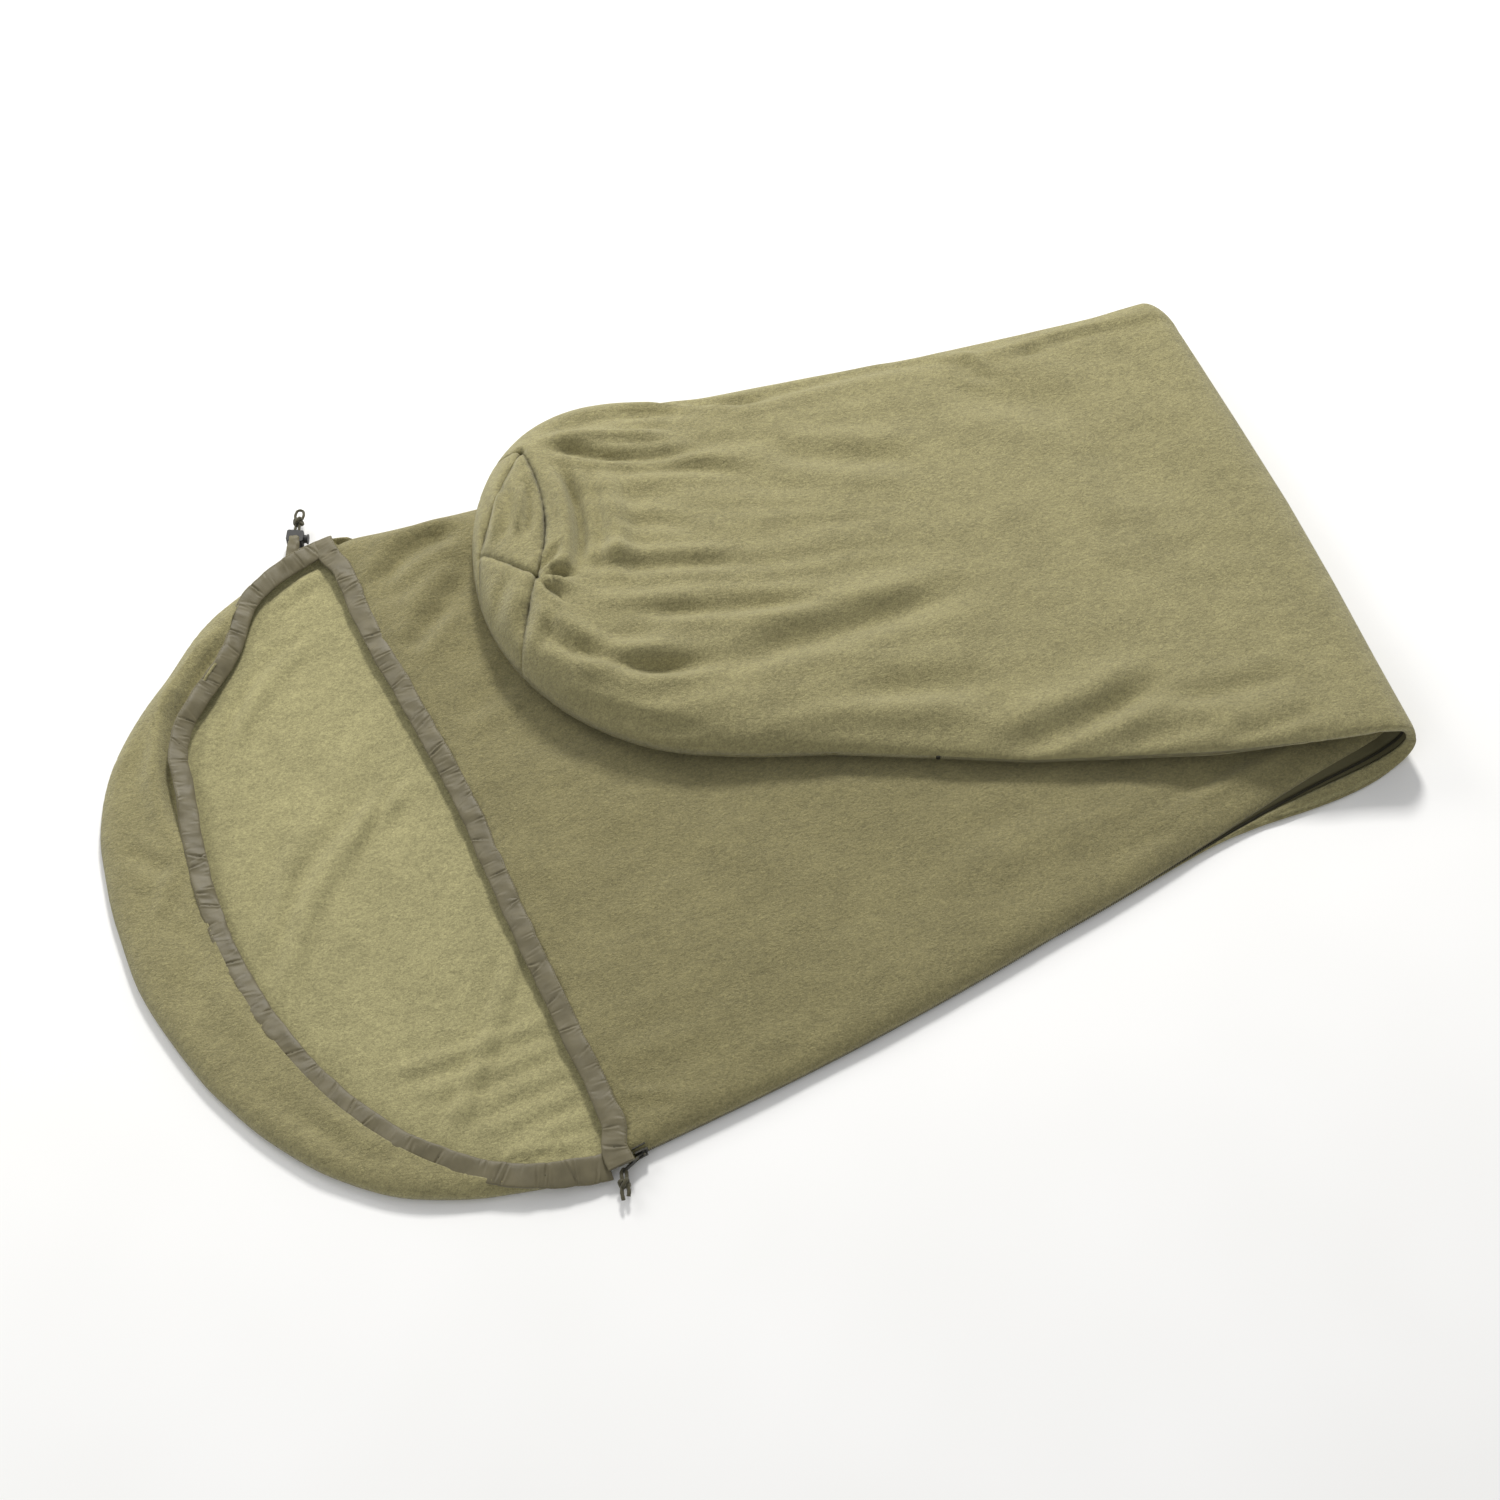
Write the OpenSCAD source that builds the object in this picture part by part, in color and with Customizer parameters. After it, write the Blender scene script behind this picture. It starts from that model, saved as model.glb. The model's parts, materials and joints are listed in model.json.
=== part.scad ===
// Fleece bivy sack with a drawcord hood and a long side zip, lying with its foot half folded over the head half.
// Frame: origin on the floor under the middle of the chest edge, +X along the bag to the fold, +Z up.

/* [Bag] */
// Width across the bag at the chest edge
chest_w = 796; // [760:4:840]
// Depth of the hood beyond the chest edge
hood_l = 362; // [340:2:380]
// Chest edge to the fold, along the centre line
fold_x = 922; // [880:2:940]
// Fold to the end of the foot
foot_l = 845; // [800:5:860]
// Sideways taper of each side of the bag, in degrees
side_taper = 6.4; // [6:0.2:6.8]
// Thickness of the fleece
cloth = 3; // [2.6:0.2:3.2]

/* [Fold] */
// Angle of the fold line away from square, in degrees
fold_skew = 2; // [1:0.5:4]
// Angle of the foot half away from the head half, in degrees
foot_turn = 15; // [13:0.5:16]
// How far along the fold the foot half lies from the middle of the head half
foot_shift = 25; // [15:1:30]
// Height of the folded bag at the fold
fold_h = 64; // [62:1:66]
// Height at the end of the foot box
foot_h = 100; // [90:1:110]

/* [Hood and drawcord] */
// Width of the nylon hem that carries the drawcord
hem_w = 20; // [18:1:22]
// Width of the hood's fleece band at the crown, outside its hem
hood_band = 90; // [80:2:100]
// Diameter of the drawcord
cord_d = 2.5; // [2:0.1:2.6]

/* [Zip] */
// Length of the zip along the foot half
foot_zip_l = 400; // [300:10:410]
// Length of the pull tab from its pivot to its end bar
tab_l = 25; // [22:1:28]
// Angle of the pull tab away from the zip's line at rest, in degrees
tab_rest = 15; // [10:1:20]
// Angle between the pull tab and its cord at rest, in degrees
cord_rest = 56; // [45:1:60]

/* [Hidden] */
$fn = 48;

fleece = [0.60, 0.57, 0.42];
nylon = [0.44, 0.41, 0.32];
cord_green = [0.33, 0.33, 0.25];
lock_black = [0.07, 0.07, 0.08];
zip_dark = [0.16, 0.16, 0.12];
gunmetal = [0.38, 0.39, 0.40];

// Head half: outline and levels
half_w = chest_w / 2;
taper_x = 20;               // the sides are parallel up to here and taper after it
taper_k = tan(side_taper);
skew_k = tan(fold_skew);
head_h = 22;                // top of the front panel
seam_z = 7.5;               // where the back panel's turned-up edge stops
zip_z = 11;                 // middle of the zip on the head half
slit = 1.2;                 // space between the two coils, which the slider's web runs in
coil_h = 2.8;
front_rim_z = 14.6;         // lower edge of the front panel on the zip side
plate_z = head_h - cloth;
fold_gap = 8;               // the sheets stop this far short of the fold line, to clear the turning fold

// Face opening
hem_l = hood_l - hood_band - hem_w / 2;   // semi-axis of the hood hem's centre line along the bag
hem_half_w = half_w - 6 - hem_w / 2;      // semi-axis of the same line across the bag
chest_x = 8;                              // where the chest hem's centre line crosses the centre line
chest_k = 0.045;                          // how far that line leans towards the hood, per unit across
hood_hem_z = 12;
hem_h = 6;
hem_wall = 1.2;
chest_hem_z = 16;
cord_gap_x = -66;                         // the hood panel stops here beside the cord exit

// Fold
fold_r = fold_h / 2;
pinch_r = (head_h + 2 + cloth - plate_z) / 2;   // radius of the front panel's tight inner fold
pinch_z = (head_h + 2 + cloth + plate_z) / 2 - fold_r;

// Foot half
foot_z = head_h + 2;
foot_half_w = half_w - (fold_x - taper_x) * taper_k;
cap_p = 620;                              // the rounded foot end starts here
cap_l = foot_l - cap_p;
cap_half_w = foot_half_w - taper_k * cap_p;
base_k = tan(foot_turn - fold_skew);      // slope of the fold line in the foot half's own frame
rise_p = 420;                             // the top starts to rise towards the foot box here
rise_k = (foot_h - fold_h) / (foot_l - rise_p);
cap_power = 2.15;           // 2 would be an ellipse; more is squarer
gusset_a = 52;                            // the gussets meet the end panel at this angle round the foot end

// Zip slider and pull, in the frame of the head half's zip
slider_x = 11;
slider_l = 14;
bar_y = -3.4;                             // pivot bar, outside the slider's face
bar_r = 0.9;
cord_r = cord_d / 2;
wrap_r = 2.6;                             // the pull cord's turn round the tab's end bar
eye_r = 1.65;

// Cord lock, in its own frame with +X along the cord's free end
lock_at = [-36, 419, 13];
lock_turn = 62.8;
strand_y = -1;
strand_gap = 2.7;
plunger_r = 4.5;

function ellipse(a, b, from, to, n) =
    [for (i = [0:n]) let (t = from + (to - from) * i / n) [a * cos(t), b * sin(t)]];

// Where the side on s = -1 or +1 meets the line that lies back short of the fold
function fold_corner(s, inset, back) =
    let (w = half_w - inset / cos(side_taper), x0 = fold_x - back,
         y = s * (w - (x0 - taper_x) * taper_k) / (1 + s * skew_k * taper_k))
    [x0 + y * skew_k, y];

// Plan of the head half, moved in by inset, and stopping back short of the fold
function head_outline(inset, back) = concat(
    [fold_corner(-1, inset, back), fold_corner(1, inset, back), [taper_x, half_w - inset]],
    ellipse(hood_l - inset, half_w - inset, 90, 270, 60),
    [[taper_x, -half_w + inset]]);

// Chest edge at dx from the hem's centre line
function chest_at(y, dx) = [chest_x - chest_k * y + dx, y];

// Half width of the foot end at p, as a full, round arc of a superellipse
function cap_arc(inset, n) =
    [for (i = [-n:n]) let (t = 90 * i / n, e = 2 / cap_power)
        [cap_p + (cap_l - inset) * pow(cos(t), e),
         -(cap_half_w - inset) * sign(t) * pow(abs(sin(t)), e)]];

function base_corner(s, inset, back) =
    let (w = foot_half_w - inset / cos(side_taper),
         y = s * (w - taper_k * back) / (1 - s * taper_k * base_k))
    [back - base_k * y, y];

// Plan of the foot half in its own frame, with +X towards the foot and +Y on the zip side
function foot_outline(inset, back) =
    concat([base_corner(1, inset, back), base_corner(-1, inset, back)],
           [for (p = cap_arc(inset, 24)) [p[0], -p[1]]]);

module slab(z0, z1) {
    translate([0, 0, z0]) linear_extrude(z1 - z0) children();
}

module head_plan(inset, back = fold_gap) {
    polygon(head_outline(inset, back));
}

module foot_plan(inset, back = fold_gap) {
    polygon(foot_outline(inset, back));
}

// Everything on the hood side of the chest line moved by dx
module hood_side(dx) {
    far = 600;
    polygon([chest_at(-far, dx), chest_at(far, dx), [-far, far], [-far, -far]]);
}

// The hood's band of cloth or hem between two half widths of its oval
module hood_ring(outer, inner) {
    difference() {
        polygon(concat(ellipse(hem_l + outer, hem_half_w + outer, 90, 270, 60),
                       [[60, -hem_half_w - outer], [60, hem_half_w + outer]]));
        polygon(concat(ellipse(hem_l + inner, hem_half_w + inner, 90, 270, 60),
                       [[80, -hem_half_w - inner], [80, hem_half_w + inner]]));
    }
}

module on_head_zip() {
    translate([taper_x, -half_w, 0]) rotate([0, 0, side_taper]) children();
}

module in_fold() {
    translate([fold_x, 0, fold_r]) rotate([0, 0, -fold_skew]) children();
}

module in_foot() {
    translate([fold_x + foot_shift * sin(fold_skew), foot_shift * cos(fold_skew), 0])
        rotate([0, 0, 180 - foot_turn]) children();
}

module on_foot_zip() {
    corner = base_corner(1, 0, fold_gap);
    in_foot() translate([corner[0], corner[1], 0]) rotate([0, 0, -side_taper]) mirror([0, 1, 0]) children();
}

// ---------- head half: cloth ----------

module back_panel_head() {
    color(fleece) difference() {
        slab(0, seam_z) head_plan(0);
        slab(cloth, seam_z + 1) head_plan(cloth, -60);
    }
}

module front_panel_head() {
    color(fleece) difference() {
        slab(seam_z + 0.1, head_h) difference() {
            head_plan(0);
            hood_side(hem_w / 2);
        }
        slab(0, plate_z) head_plan(cloth, -60);
        // The zip side stays open below the front panel's edge
        slab(0, front_rim_z) translate([-400, -600]) square([1500, 600]);
    }
}

module hood_panel() {
    band_top = 17;
    color(fleece) difference() {
        slab(seam_z + 0.1, band_top) intersection() {
            head_plan(0);
            hood_side(-hem_w / 2);
        }
        slab(0, band_top - cloth) head_plan(cloth);
        slab(0, band_top + 1) polygon(concat(ellipse(hem_l + hem_w / 2, hem_half_w + hem_w / 2, 90, 270, 60),
                                             [[60, -hem_half_w - hem_w / 2], [60, hem_half_w + hem_w / 2]]));
        slab(0, band_top + 1) translate([cord_gap_x, 0]) square([100, 500]);
    }
}

module hood_hem() {
    bore = hem_w / 2 - 3;
    color(nylon) difference() {
        slab(hood_hem_z, hood_hem_z + hem_h) intersection() {
            hood_ring(hem_w / 2, -hem_w / 2);
            hood_side(-hem_w / 2 - 0.2);
        }
        slab(hood_hem_z + hem_wall, hood_hem_z + hem_h - hem_wall) hood_ring(bore, -bore);
    }
}

module chest_hem() {
    reach = hem_half_w + hem_w / 2 + 4;
    bore = hem_w / 2 - 3;
    color(nylon) difference() {
        slab(chest_hem_z, chest_hem_z + hem_h + 1) polygon([
            chest_at(-reach, -hem_w / 2), chest_at(-reach, hem_w / 2 - 0.1),
            chest_at(reach, hem_w / 2 - 0.1), chest_at(reach, -hem_w / 2)]);
        slab(chest_hem_z + hem_wall, chest_hem_z + hem_h + 1 - hem_wall) polygon([
            chest_at(-2 * reach, -bore), chest_at(-2 * reach, bore),
            chest_at(2 * reach, bore), chest_at(2 * reach, -bore)]);
    }
}

module hood_drawcord() {
    mid = hood_hem_z + hem_h / 2;
    color(cord_green) slab(mid - cord_r, mid + cord_r) intersection() {
        hood_ring(cord_r, -cord_r);
        hood_side(-hem_w / 2 - 1);
    }
}

module chest_drawcord() {
    reach = hem_half_w + 11;
    color(cord_green) translate([chest_x, 0, chest_hem_z + (hem_h + 1) / 2]) rotate([0, 0, atan(chest_k)])
        rotate([90, 0, 0]) cylinder(h = 2 * reach, r = cord_r, center = true);
}

// ---------- zip ----------

module zip_bar(l, y, t, z0, z1) {
    translate([0, y, z0]) cube([l, t, z1 - z0]);
}

head_zip_l = norm(fold_corner(-1, 0, fold_gap) - [taper_x, -half_w]);
coil_start = 3;

module zip_tape_back_head() {
    color(zip_dark) on_head_zip() zip_bar(head_zip_l, cloth + 0.05, 0.7, cloth + 0.1, zip_z - slit / 2 - 0.1);
}

// This tape starts beyond the end of the chest hem
module zip_tape_front_head() {
    start = 18;
    color(zip_dark) on_head_zip() translate([start, 0, 0])
        zip_bar(head_zip_l - start, cloth + 0.05, 0.7, zip_z + slit / 2 + 0.1, plate_z - 0.1);
}

module zip_coil_back_head() {
    color(zip_dark) on_head_zip() translate([coil_start, 0, 0])
        zip_bar(head_zip_l - coil_start, 0.3, cloth - 0.3, zip_z - slit / 2 - coil_h, zip_z - slit / 2);
}

module zip_coil_front_head() {
    color(zip_dark) on_head_zip() translate([coil_start, 0, 0])
        zip_bar(head_zip_l - coil_start, 0.3, cloth - 0.3, zip_z + slit / 2, zip_z + slit / 2 + coil_h);
}

module zip_top_stops() {
    color(gunmetal) on_head_zip() for (z = [zip_z - slit / 2 - coil_h, zip_z + slit / 2])
        translate([0.3, 0.1, z]) cube([coil_start - 0.5, cloth - 0.1, coil_h]);
}

// A zip piece on the foot half, at the mirror image of the head half's levels
module foot_zip_bar(x0, l, y, t, z0, z1) {
    on_foot_zip() translate([x0, y, fold_h - z1]) cube([l, t, z1 - z0]);
}

module zip_tape_back_foot() {
    color(zip_dark) foot_zip_bar(0, foot_zip_l, cloth + 0.05, 0.7, cloth + 0.1, zip_z - slit / 2 - 0.1);
}

module zip_tape_front_foot() {
    color(zip_dark) foot_zip_bar(0, foot_zip_l, cloth + 0.05, 0.7, zip_z + slit / 2 + 0.1, plate_z + 2);
}

module zip_coil_back_foot() {
    color(zip_dark) foot_zip_bar(0, foot_zip_l - 6, 0.3, cloth - 0.3, zip_z - slit / 2 - coil_h, zip_z - slit / 2);
}

module zip_coil_front_foot() {
    color(zip_dark) foot_zip_bar(0, foot_zip_l - 6, 0.3, cloth - 0.3, zip_z + slit / 2, zip_z + slit / 2 + coil_h);
}

module zip_bottom_stop() {
    color(gunmetal) foot_zip_bar(foot_zip_l - 5.8, 3, -0.4, cloth + 0.4, zip_z - 3.2, zip_z + 3.2);
}

// The fold's two ends as [middle, lean]: where each edge of the bag lies along the fold at mid height, and how
// far it has moved on at the top
function fold_end(s) =
    let (low = fold_corner(s, 0, 0)[1] / cos(fold_skew),
         high = foot_shift - base_corner(-s, 0, 0)[1] / cos(foot_turn - fold_skew))
    [(low + high) / 2, (high - low) / 2];
zip_end = fold_end(-1);
seam_end = fold_end(1);

// Half ring round the fold's axis, from radius r0 to r1, between one end line moved in by d0 and another by d1
module fold_ring(r0, r1, end0, d0, end1, d1, z = 0) {
    far = 400;
    k = 1.1;
    intersection() {
        translate([0, far, z]) rotate([90, 0, 0]) linear_extrude(2 * far) intersection() {
            difference() {
                circle(r1);
                if (r0 > 0) circle(r0);
            }
            translate([0, -2 * r1]) square([2 * r1, 4 * r1]);
        }
        rotate([90, 0, 90]) linear_extrude(3 * fold_r, center = true) polygon([
            [end0[0] - k * end0[1] + d0, -k * fold_r], [end1[0] - k * end1[1] + d1, -k * fold_r],
            [end1[0] + k * end1[1] + d1, k * fold_r], [end0[0] + k * end0[1] + d0, k * fold_r]]);
    }
}

// A piece of the zip round the fold, from d0 to d1 in from the bag's edge
module fold_zip_ring(r0, r1, d0, d1) {
    color(zip_dark) in_fold() fold_ring(r0, r1, zip_end, d0, zip_end, d1);
}

zip_fold_r = fold_r - zip_z;

module zip_tape_back_fold() {
    fold_zip_ring(zip_fold_r + slit / 2 + 0.1, fold_r - cloth - 0.1, cloth + 0.05, cloth + 0.75);
}

module zip_tape_front_fold() {
    fold_zip_ring(fold_r - plate_z + 0.1, zip_fold_r - slit / 2 - 0.1, cloth + 0.05, cloth + 0.75);
}

module zip_coil_back_fold() {
    fold_zip_ring(zip_fold_r + slit / 2, zip_fold_r + slit / 2 + coil_h, 0.3, cloth);
}

module zip_coil_front_fold() {
    fold_zip_ring(zip_fold_r - slit / 2 - coil_h, zip_fold_r - slit / 2, 0.3, cloth);
}

module zip_slider() {
    post = 4;
    color(gunmetal) on_head_zip() translate([slider_x, 0, zip_z]) {
        // Outer plate with a narrower nose
        translate([-slider_l / 2, -1.9, -5.4]) cube([slider_l * 0.7, 1.75, 10.8]);
        translate([slider_l * 0.2 - 0.01, -1.9, -4.2]) cube([slider_l * 0.3, 1.75, 8.4]);
        // Inner plate and the web between the coils
        translate([-slider_l / 2, cloth + 0.9, -4.6]) cube([slider_l, 1.3, 9.2]);
        translate([-3, -1.9, -0.5]) cube([6, cloth + 3.1, 1]);
        // Bridge that holds the pull tab
        for (s = [-1, 1]) translate([s * post - 0.8, -5.2, -1.1]) cube([1.6, 3.4, 2.2]);
        translate([-post - 0.8, -6.3, -1.1]) cube([2 * post + 1.6, 1.4, 2.2]);
    }
}

// The pull tab's own frame: origin on its pivot, +X to its free end
module at_tab() {
    on_head_zip() translate([slider_x, bar_y, zip_z]) rotate([0, 0, 180 + tab_rest]) children();
}

module zip_pull_tab() {
    half_h = 3.1;
    window_l = 9.5;
    window_h = 1.5;
    thick = 1.6;
    color(gunmetal) at_tab() {
        for (x = [0, tab_l]) translate([x, 0, 0]) cylinder(h = 2 * half_h, r = bar_r, center = true);
        difference() {
            translate([0, -thick / 2, -half_h]) cube([tab_l, thick, 2 * half_h]);
            translate([-1, -thick, -window_h]) cube([window_l + 1, 2 * thick, 2 * window_h]);
            translate([tab_l - wrap_r, 0, 0]) rotate([90, 0, 0]) cylinder(h = 4 * thick, r = eye_r, center = true);
        }
    }
}

module zip_pull_cord() {
    strand_l = 8;
    knot_l = 8;
    knot_r = 4.2;
    tail_l = 14;
    color(cord_green) at_tab() translate([tab_l, 0, 0]) rotate([0, 0, cord_rest]) {
        rotate([0, 0, 90]) rotate_extrude(angle = 180) translate([wrap_r, 0]) circle(cord_r);
        for (s = [-1, 1]) {
            translate([0, s * wrap_r, 0]) rotate([0, 90, 0]) cylinder(h = strand_l + 1, r = cord_r);
            translate([strand_l + knot_l - 1, s * 1.6, 0]) rotate([0, 90, s * 7])
                cylinder(h = tail_l + 1, r = cord_r);
        }
        translate([strand_l, 0, 0]) rotate([0, 90, 0]) cylinder(h = knot_l, r = knot_r);
    }
}

// ---------- cord lock and the drawcord's free end ----------

module at_lock() {
    translate(lock_at) rotate([0, 0, lock_turn]) children();
}

module cord_lock_body() {
    y0 = -6;
    y1 = 12.5;
    half_l = 7;
    half_h = 6.5;
    corner = 2.5;
    color(lock_black) at_lock() difference() {
        union() {
            translate([-half_l, y0 + corner, -half_h]) cube([2 * half_l, y1 - y0 - 2 * corner, 2 * half_h]);
            translate([-half_l + corner, y0, -half_h]) cube([2 * (half_l - corner), y1 - y0, 2 * half_h]);
            for (x = [-half_l + corner, half_l - corner], y = [y0 + corner, y1 - corner])
                translate([x, y, -half_h]) cylinder(h = 2 * half_h, r = corner);
        }
        translate([0, y0 - 1, 0]) rotate([-90, 0, 0]) cylinder(h = 17.5, r = plunger_r + 0.08);
        translate([-half_l - 1, strand_y - cord_r - 0.1, -3]) cube([2 * half_l + 2, 5.4, 6]);
    }
}

module cord_lock_plunger() {
    color(lock_black) at_lock() difference() {
        union() {
            translate([0, -10, 0]) rotate([-90, 0, 0]) cylinder(h = 14, r = plunger_r);
            translate([0, -11, 0]) rotate([-90, 0, 0]) cylinder(h = 1.4, r = plunger_r + 1);
        }
        translate([-8, -6, -3]) cube([16, 6 + strand_y + cord_r + 0.1, 6]);
    }
}

module cord_lock_spring() {
    free_l = 6.2;
    color("silver") at_lock() translate([0, 4.1, 0]) rotate([-90, 0, 0])
        linear_extrude(free_l, twist = -360 * 4, slices = 64) translate([3, 0]) circle(0.45, $fn = 8);
}

module drawcord_end() {
    back = 36;
    knot_x = 20;
    knot_l = 8;
    knot_r = 4.4;
    loop_r = 4.2;
    color(cord_green) at_lock() {
        for (s = [-1, 1]) translate([-back, strand_y, s * strand_gap / 2])
            rotate([0, 90, 0]) cylinder(h = back + knot_x + 1, r = cord_r);
        translate([knot_x, strand_y, 0]) rotate([0, 90, 0]) cylinder(h = knot_l, r = knot_r);
        translate([knot_x + knot_l + loop_r - 0.3, strand_y, 0])
            rotate_extrude() translate([loop_r, 0]) circle(cord_r);
    }
}

module cord_lock_tab() {
    y0 = -4;
    w = 15;
    front = 4;
    back = 20;
    tongue = 32;
    color(nylon) at_lock() {
        translate([-tongue, y0, 6.7]) cube([tongue + front, w, 1]);
        translate([-back, y0, -7.7]) cube([back + front, w, 1]);
        difference() {
            translate([-back, y0, -7.7]) cube([1, w, 15.4]);
            translate([-back - 1, strand_y - 1.6, -3.2]) cube([3, 3.2, 6.4]);
        }
    }
}

// ---------- fold ----------

module back_panel_fold() {
    color(fleece) in_fold() {
        fold_ring(fold_r - cloth, fold_r, zip_end, 0, seam_end, 0);
        fold_ring(fold_r - seam_z, fold_r - cloth + 0.1, zip_end, 0, zip_end, cloth);
        fold_ring(fold_r - seam_z, fold_r - cloth + 0.1, seam_end, -cloth, seam_end, 0);
    }
}

module front_panel_fold() {
    color(fleece) in_fold() {
        fold_ring(pinch_r - cloth, pinch_r, zip_end, 0.1, seam_end, -0.1, pinch_z);
        fold_ring(0, fold_r - front_rim_z, zip_end, 0, zip_end, cloth);
        fold_ring(0, fold_r - seam_z - 0.1, seam_end, -cloth, seam_end, 0);
    }
}

// ---------- foot half: cloth ----------

// Everything under the foot half's top surface lowered by dz
module under_top(dz) {
    far = 900;
    rotate([90, 0, 0]) linear_extrude(1200, center = true)
        polygon([[-200, 0], [far, 0], [far, fold_h + (far - rise_p) * rise_k - dz],
                 [rise_p, fold_h - dz], [-200, fold_h - dz]]);
}

module back_panel_foot() {
    color(fleece) in_foot() difference() {
        intersection() {
            slab(foot_z, foot_h + 20) foot_plan(0);
            under_top(0);
        }
        intersection() {
            slab(0, foot_h + 20) foot_plan(cloth, -60);
            under_top(cloth);
        }
        under_top(seam_z);
    }
}

// Side walls up to the seam, for the part of the plan that children() keep
module foot_walls() {
    difference() {
        intersection() {
            slab(foot_z, foot_h + 20) intersection() {
                foot_plan(0);
                children();
            }
            under_top(seam_z + 0.1);
        }
        slab(0, foot_h + 20) foot_plan(cloth, -60);
    }
}

module front_panel_foot() {
    color(fleece) in_foot() {
        slab(foot_z, foot_z + cloth) foot_plan(0);
        difference() {
            foot_walls() translate([-200, -600]) square([200 + cap_p, 1200]);
            translate([-200, 100, fold_h - front_rim_z])
                cube([200 + foot_zip_l + base_corner(1, 0, fold_gap)[0], 400, foot_h]);
        }
    }
}

// Sector of the foot end between two angles about the start of its rounding
module foot_sector(a0, a1) {
    far = 600;
    translate([cap_p + 0.1, 0]) polygon([[0, 0], far * [cos(a0), sin(a0)], far * [cos(a1), sin(a1)]]);
}

module foot_end_wall(a0, a1) {
    color(fleece) in_foot() difference() {
        foot_walls() foot_sector(a0, a1);
        slab(0, foot_z + cloth + 0.1) translate([0, -600]) square([1000, 1200]);
    }
}

module foot_end_panel() {
    foot_end_wall(-gusset_a, gusset_a);
}

module foot_gusset_zip_side() {
    foot_end_wall(gusset_a + 0.1, 90);
}

module foot_gusset_seam_side() {
    foot_end_wall(-90, -gusset_a - 0.1);
}

back_panel_head();
front_panel_head();
hood_panel();
hood_hem();
chest_hem();
hood_drawcord();
chest_drawcord();
zip_tape_back_head();
zip_tape_front_head();
zip_coil_back_head();
zip_coil_front_head();
zip_top_stops();
cord_lock_tab();
cord_lock_body();
cord_lock_plunger();
cord_lock_spring();
drawcord_end();
zip_slider();
zip_pull_tab();
zip_pull_cord();
back_panel_fold();
front_panel_fold();
zip_tape_back_fold();
zip_tape_front_fold();
zip_coil_back_fold();
zip_coil_front_fold();
back_panel_foot();
front_panel_foot();
foot_end_panel();
foot_gusset_zip_side();
foot_gusset_seam_side();
zip_tape_back_foot();
zip_tape_front_foot();
zip_coil_back_foot();
zip_coil_front_foot();
zip_bottom_stop();
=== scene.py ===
import bpy
import json
import math
import numpy as np
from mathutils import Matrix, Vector, geometry


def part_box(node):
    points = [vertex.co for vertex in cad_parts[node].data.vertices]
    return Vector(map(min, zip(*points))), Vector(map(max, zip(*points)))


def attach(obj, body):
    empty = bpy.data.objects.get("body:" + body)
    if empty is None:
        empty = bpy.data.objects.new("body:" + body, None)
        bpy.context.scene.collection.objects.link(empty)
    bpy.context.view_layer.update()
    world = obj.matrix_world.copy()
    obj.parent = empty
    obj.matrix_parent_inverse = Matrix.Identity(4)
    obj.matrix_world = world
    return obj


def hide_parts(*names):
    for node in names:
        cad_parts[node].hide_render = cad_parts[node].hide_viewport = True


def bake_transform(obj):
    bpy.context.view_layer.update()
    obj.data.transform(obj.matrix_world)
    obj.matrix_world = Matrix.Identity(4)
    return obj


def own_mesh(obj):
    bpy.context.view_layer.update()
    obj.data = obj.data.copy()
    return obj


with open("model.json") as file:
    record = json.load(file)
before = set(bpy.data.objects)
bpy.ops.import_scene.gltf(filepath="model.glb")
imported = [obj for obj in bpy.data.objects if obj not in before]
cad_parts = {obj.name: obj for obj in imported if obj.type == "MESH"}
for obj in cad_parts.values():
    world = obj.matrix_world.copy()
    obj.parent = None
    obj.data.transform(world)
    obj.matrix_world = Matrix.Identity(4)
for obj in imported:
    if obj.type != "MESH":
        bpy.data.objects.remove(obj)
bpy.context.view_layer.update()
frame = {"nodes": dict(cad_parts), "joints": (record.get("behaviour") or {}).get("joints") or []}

MM = 0.001
DETAIL = 1.0
JOINT = {j["name"]: j for j in frame["joints"]}
UP = np.array((0.0, 0.0, 1.0))

# ---------------------------------------------------------------- where the frame puts things
fold_lower = np.array(JOINT["fold_lower"]["pos_m"])
fold_upper = np.array(JOINT["fold_upper"]["pos_m"])
ALONG = np.array(JOINT["fold_lower"]["axis"])          # along the fold line
BEYOND = np.cross(ALONG, UP)                           # level, away from the head half
FOLD_R = fold_upper[2] - fold_lower[2]
QUARTER = FOLD_R * math.pi / 2
FOLD_AT = fold_lower - BEYOND * FOLD_R / 2
FOLD_AT[2] = 0.0
back_low, back_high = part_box("back_panel_head")
HALF_W = back_high[1]
HOOD_L = -back_low[0]
ZIP_DIR = np.array(JOINT["zip_slide"]["axis"])
TAPER = ZIP_DIR[1] / ZIP_DIR[0]
TAPER_X = 20 * MM
HEAD_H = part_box("front_panel_head")[1][2]
bar_low, bar_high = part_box("zip_coil_back_foot")
FOOT_TURN = math.atan2(bar_high[1] - bar_low[1], bar_high[0] - bar_low[0]) - math.atan(TAPER)
FOOT_SHIFT = 25 * MM
FOOT_AT = FOLD_AT + ALONG * FOOT_SHIFT
P_AXIS = np.array((-math.cos(FOOT_TURN), math.sin(FOOT_TURN), 0.0))
Q_AXIS = np.array((-math.sin(FOOT_TURN), -math.cos(FOOT_TURN), 0.0))
FOOT_HALF_W = HALF_W - (FOLD_AT[0] - TAPER_X) * TAPER
CAP_P = 620 * MM
FOOT_L = 845 * MM
CAP_POWER = 2.15
SEAM_Z = 11 * MM


# ---------------------------------------------------------------- small maths helpers
def smooth(t):
    t = np.clip(t, 0.0, 1.0)
    return t * t * (3 - 2 * t)


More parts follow.
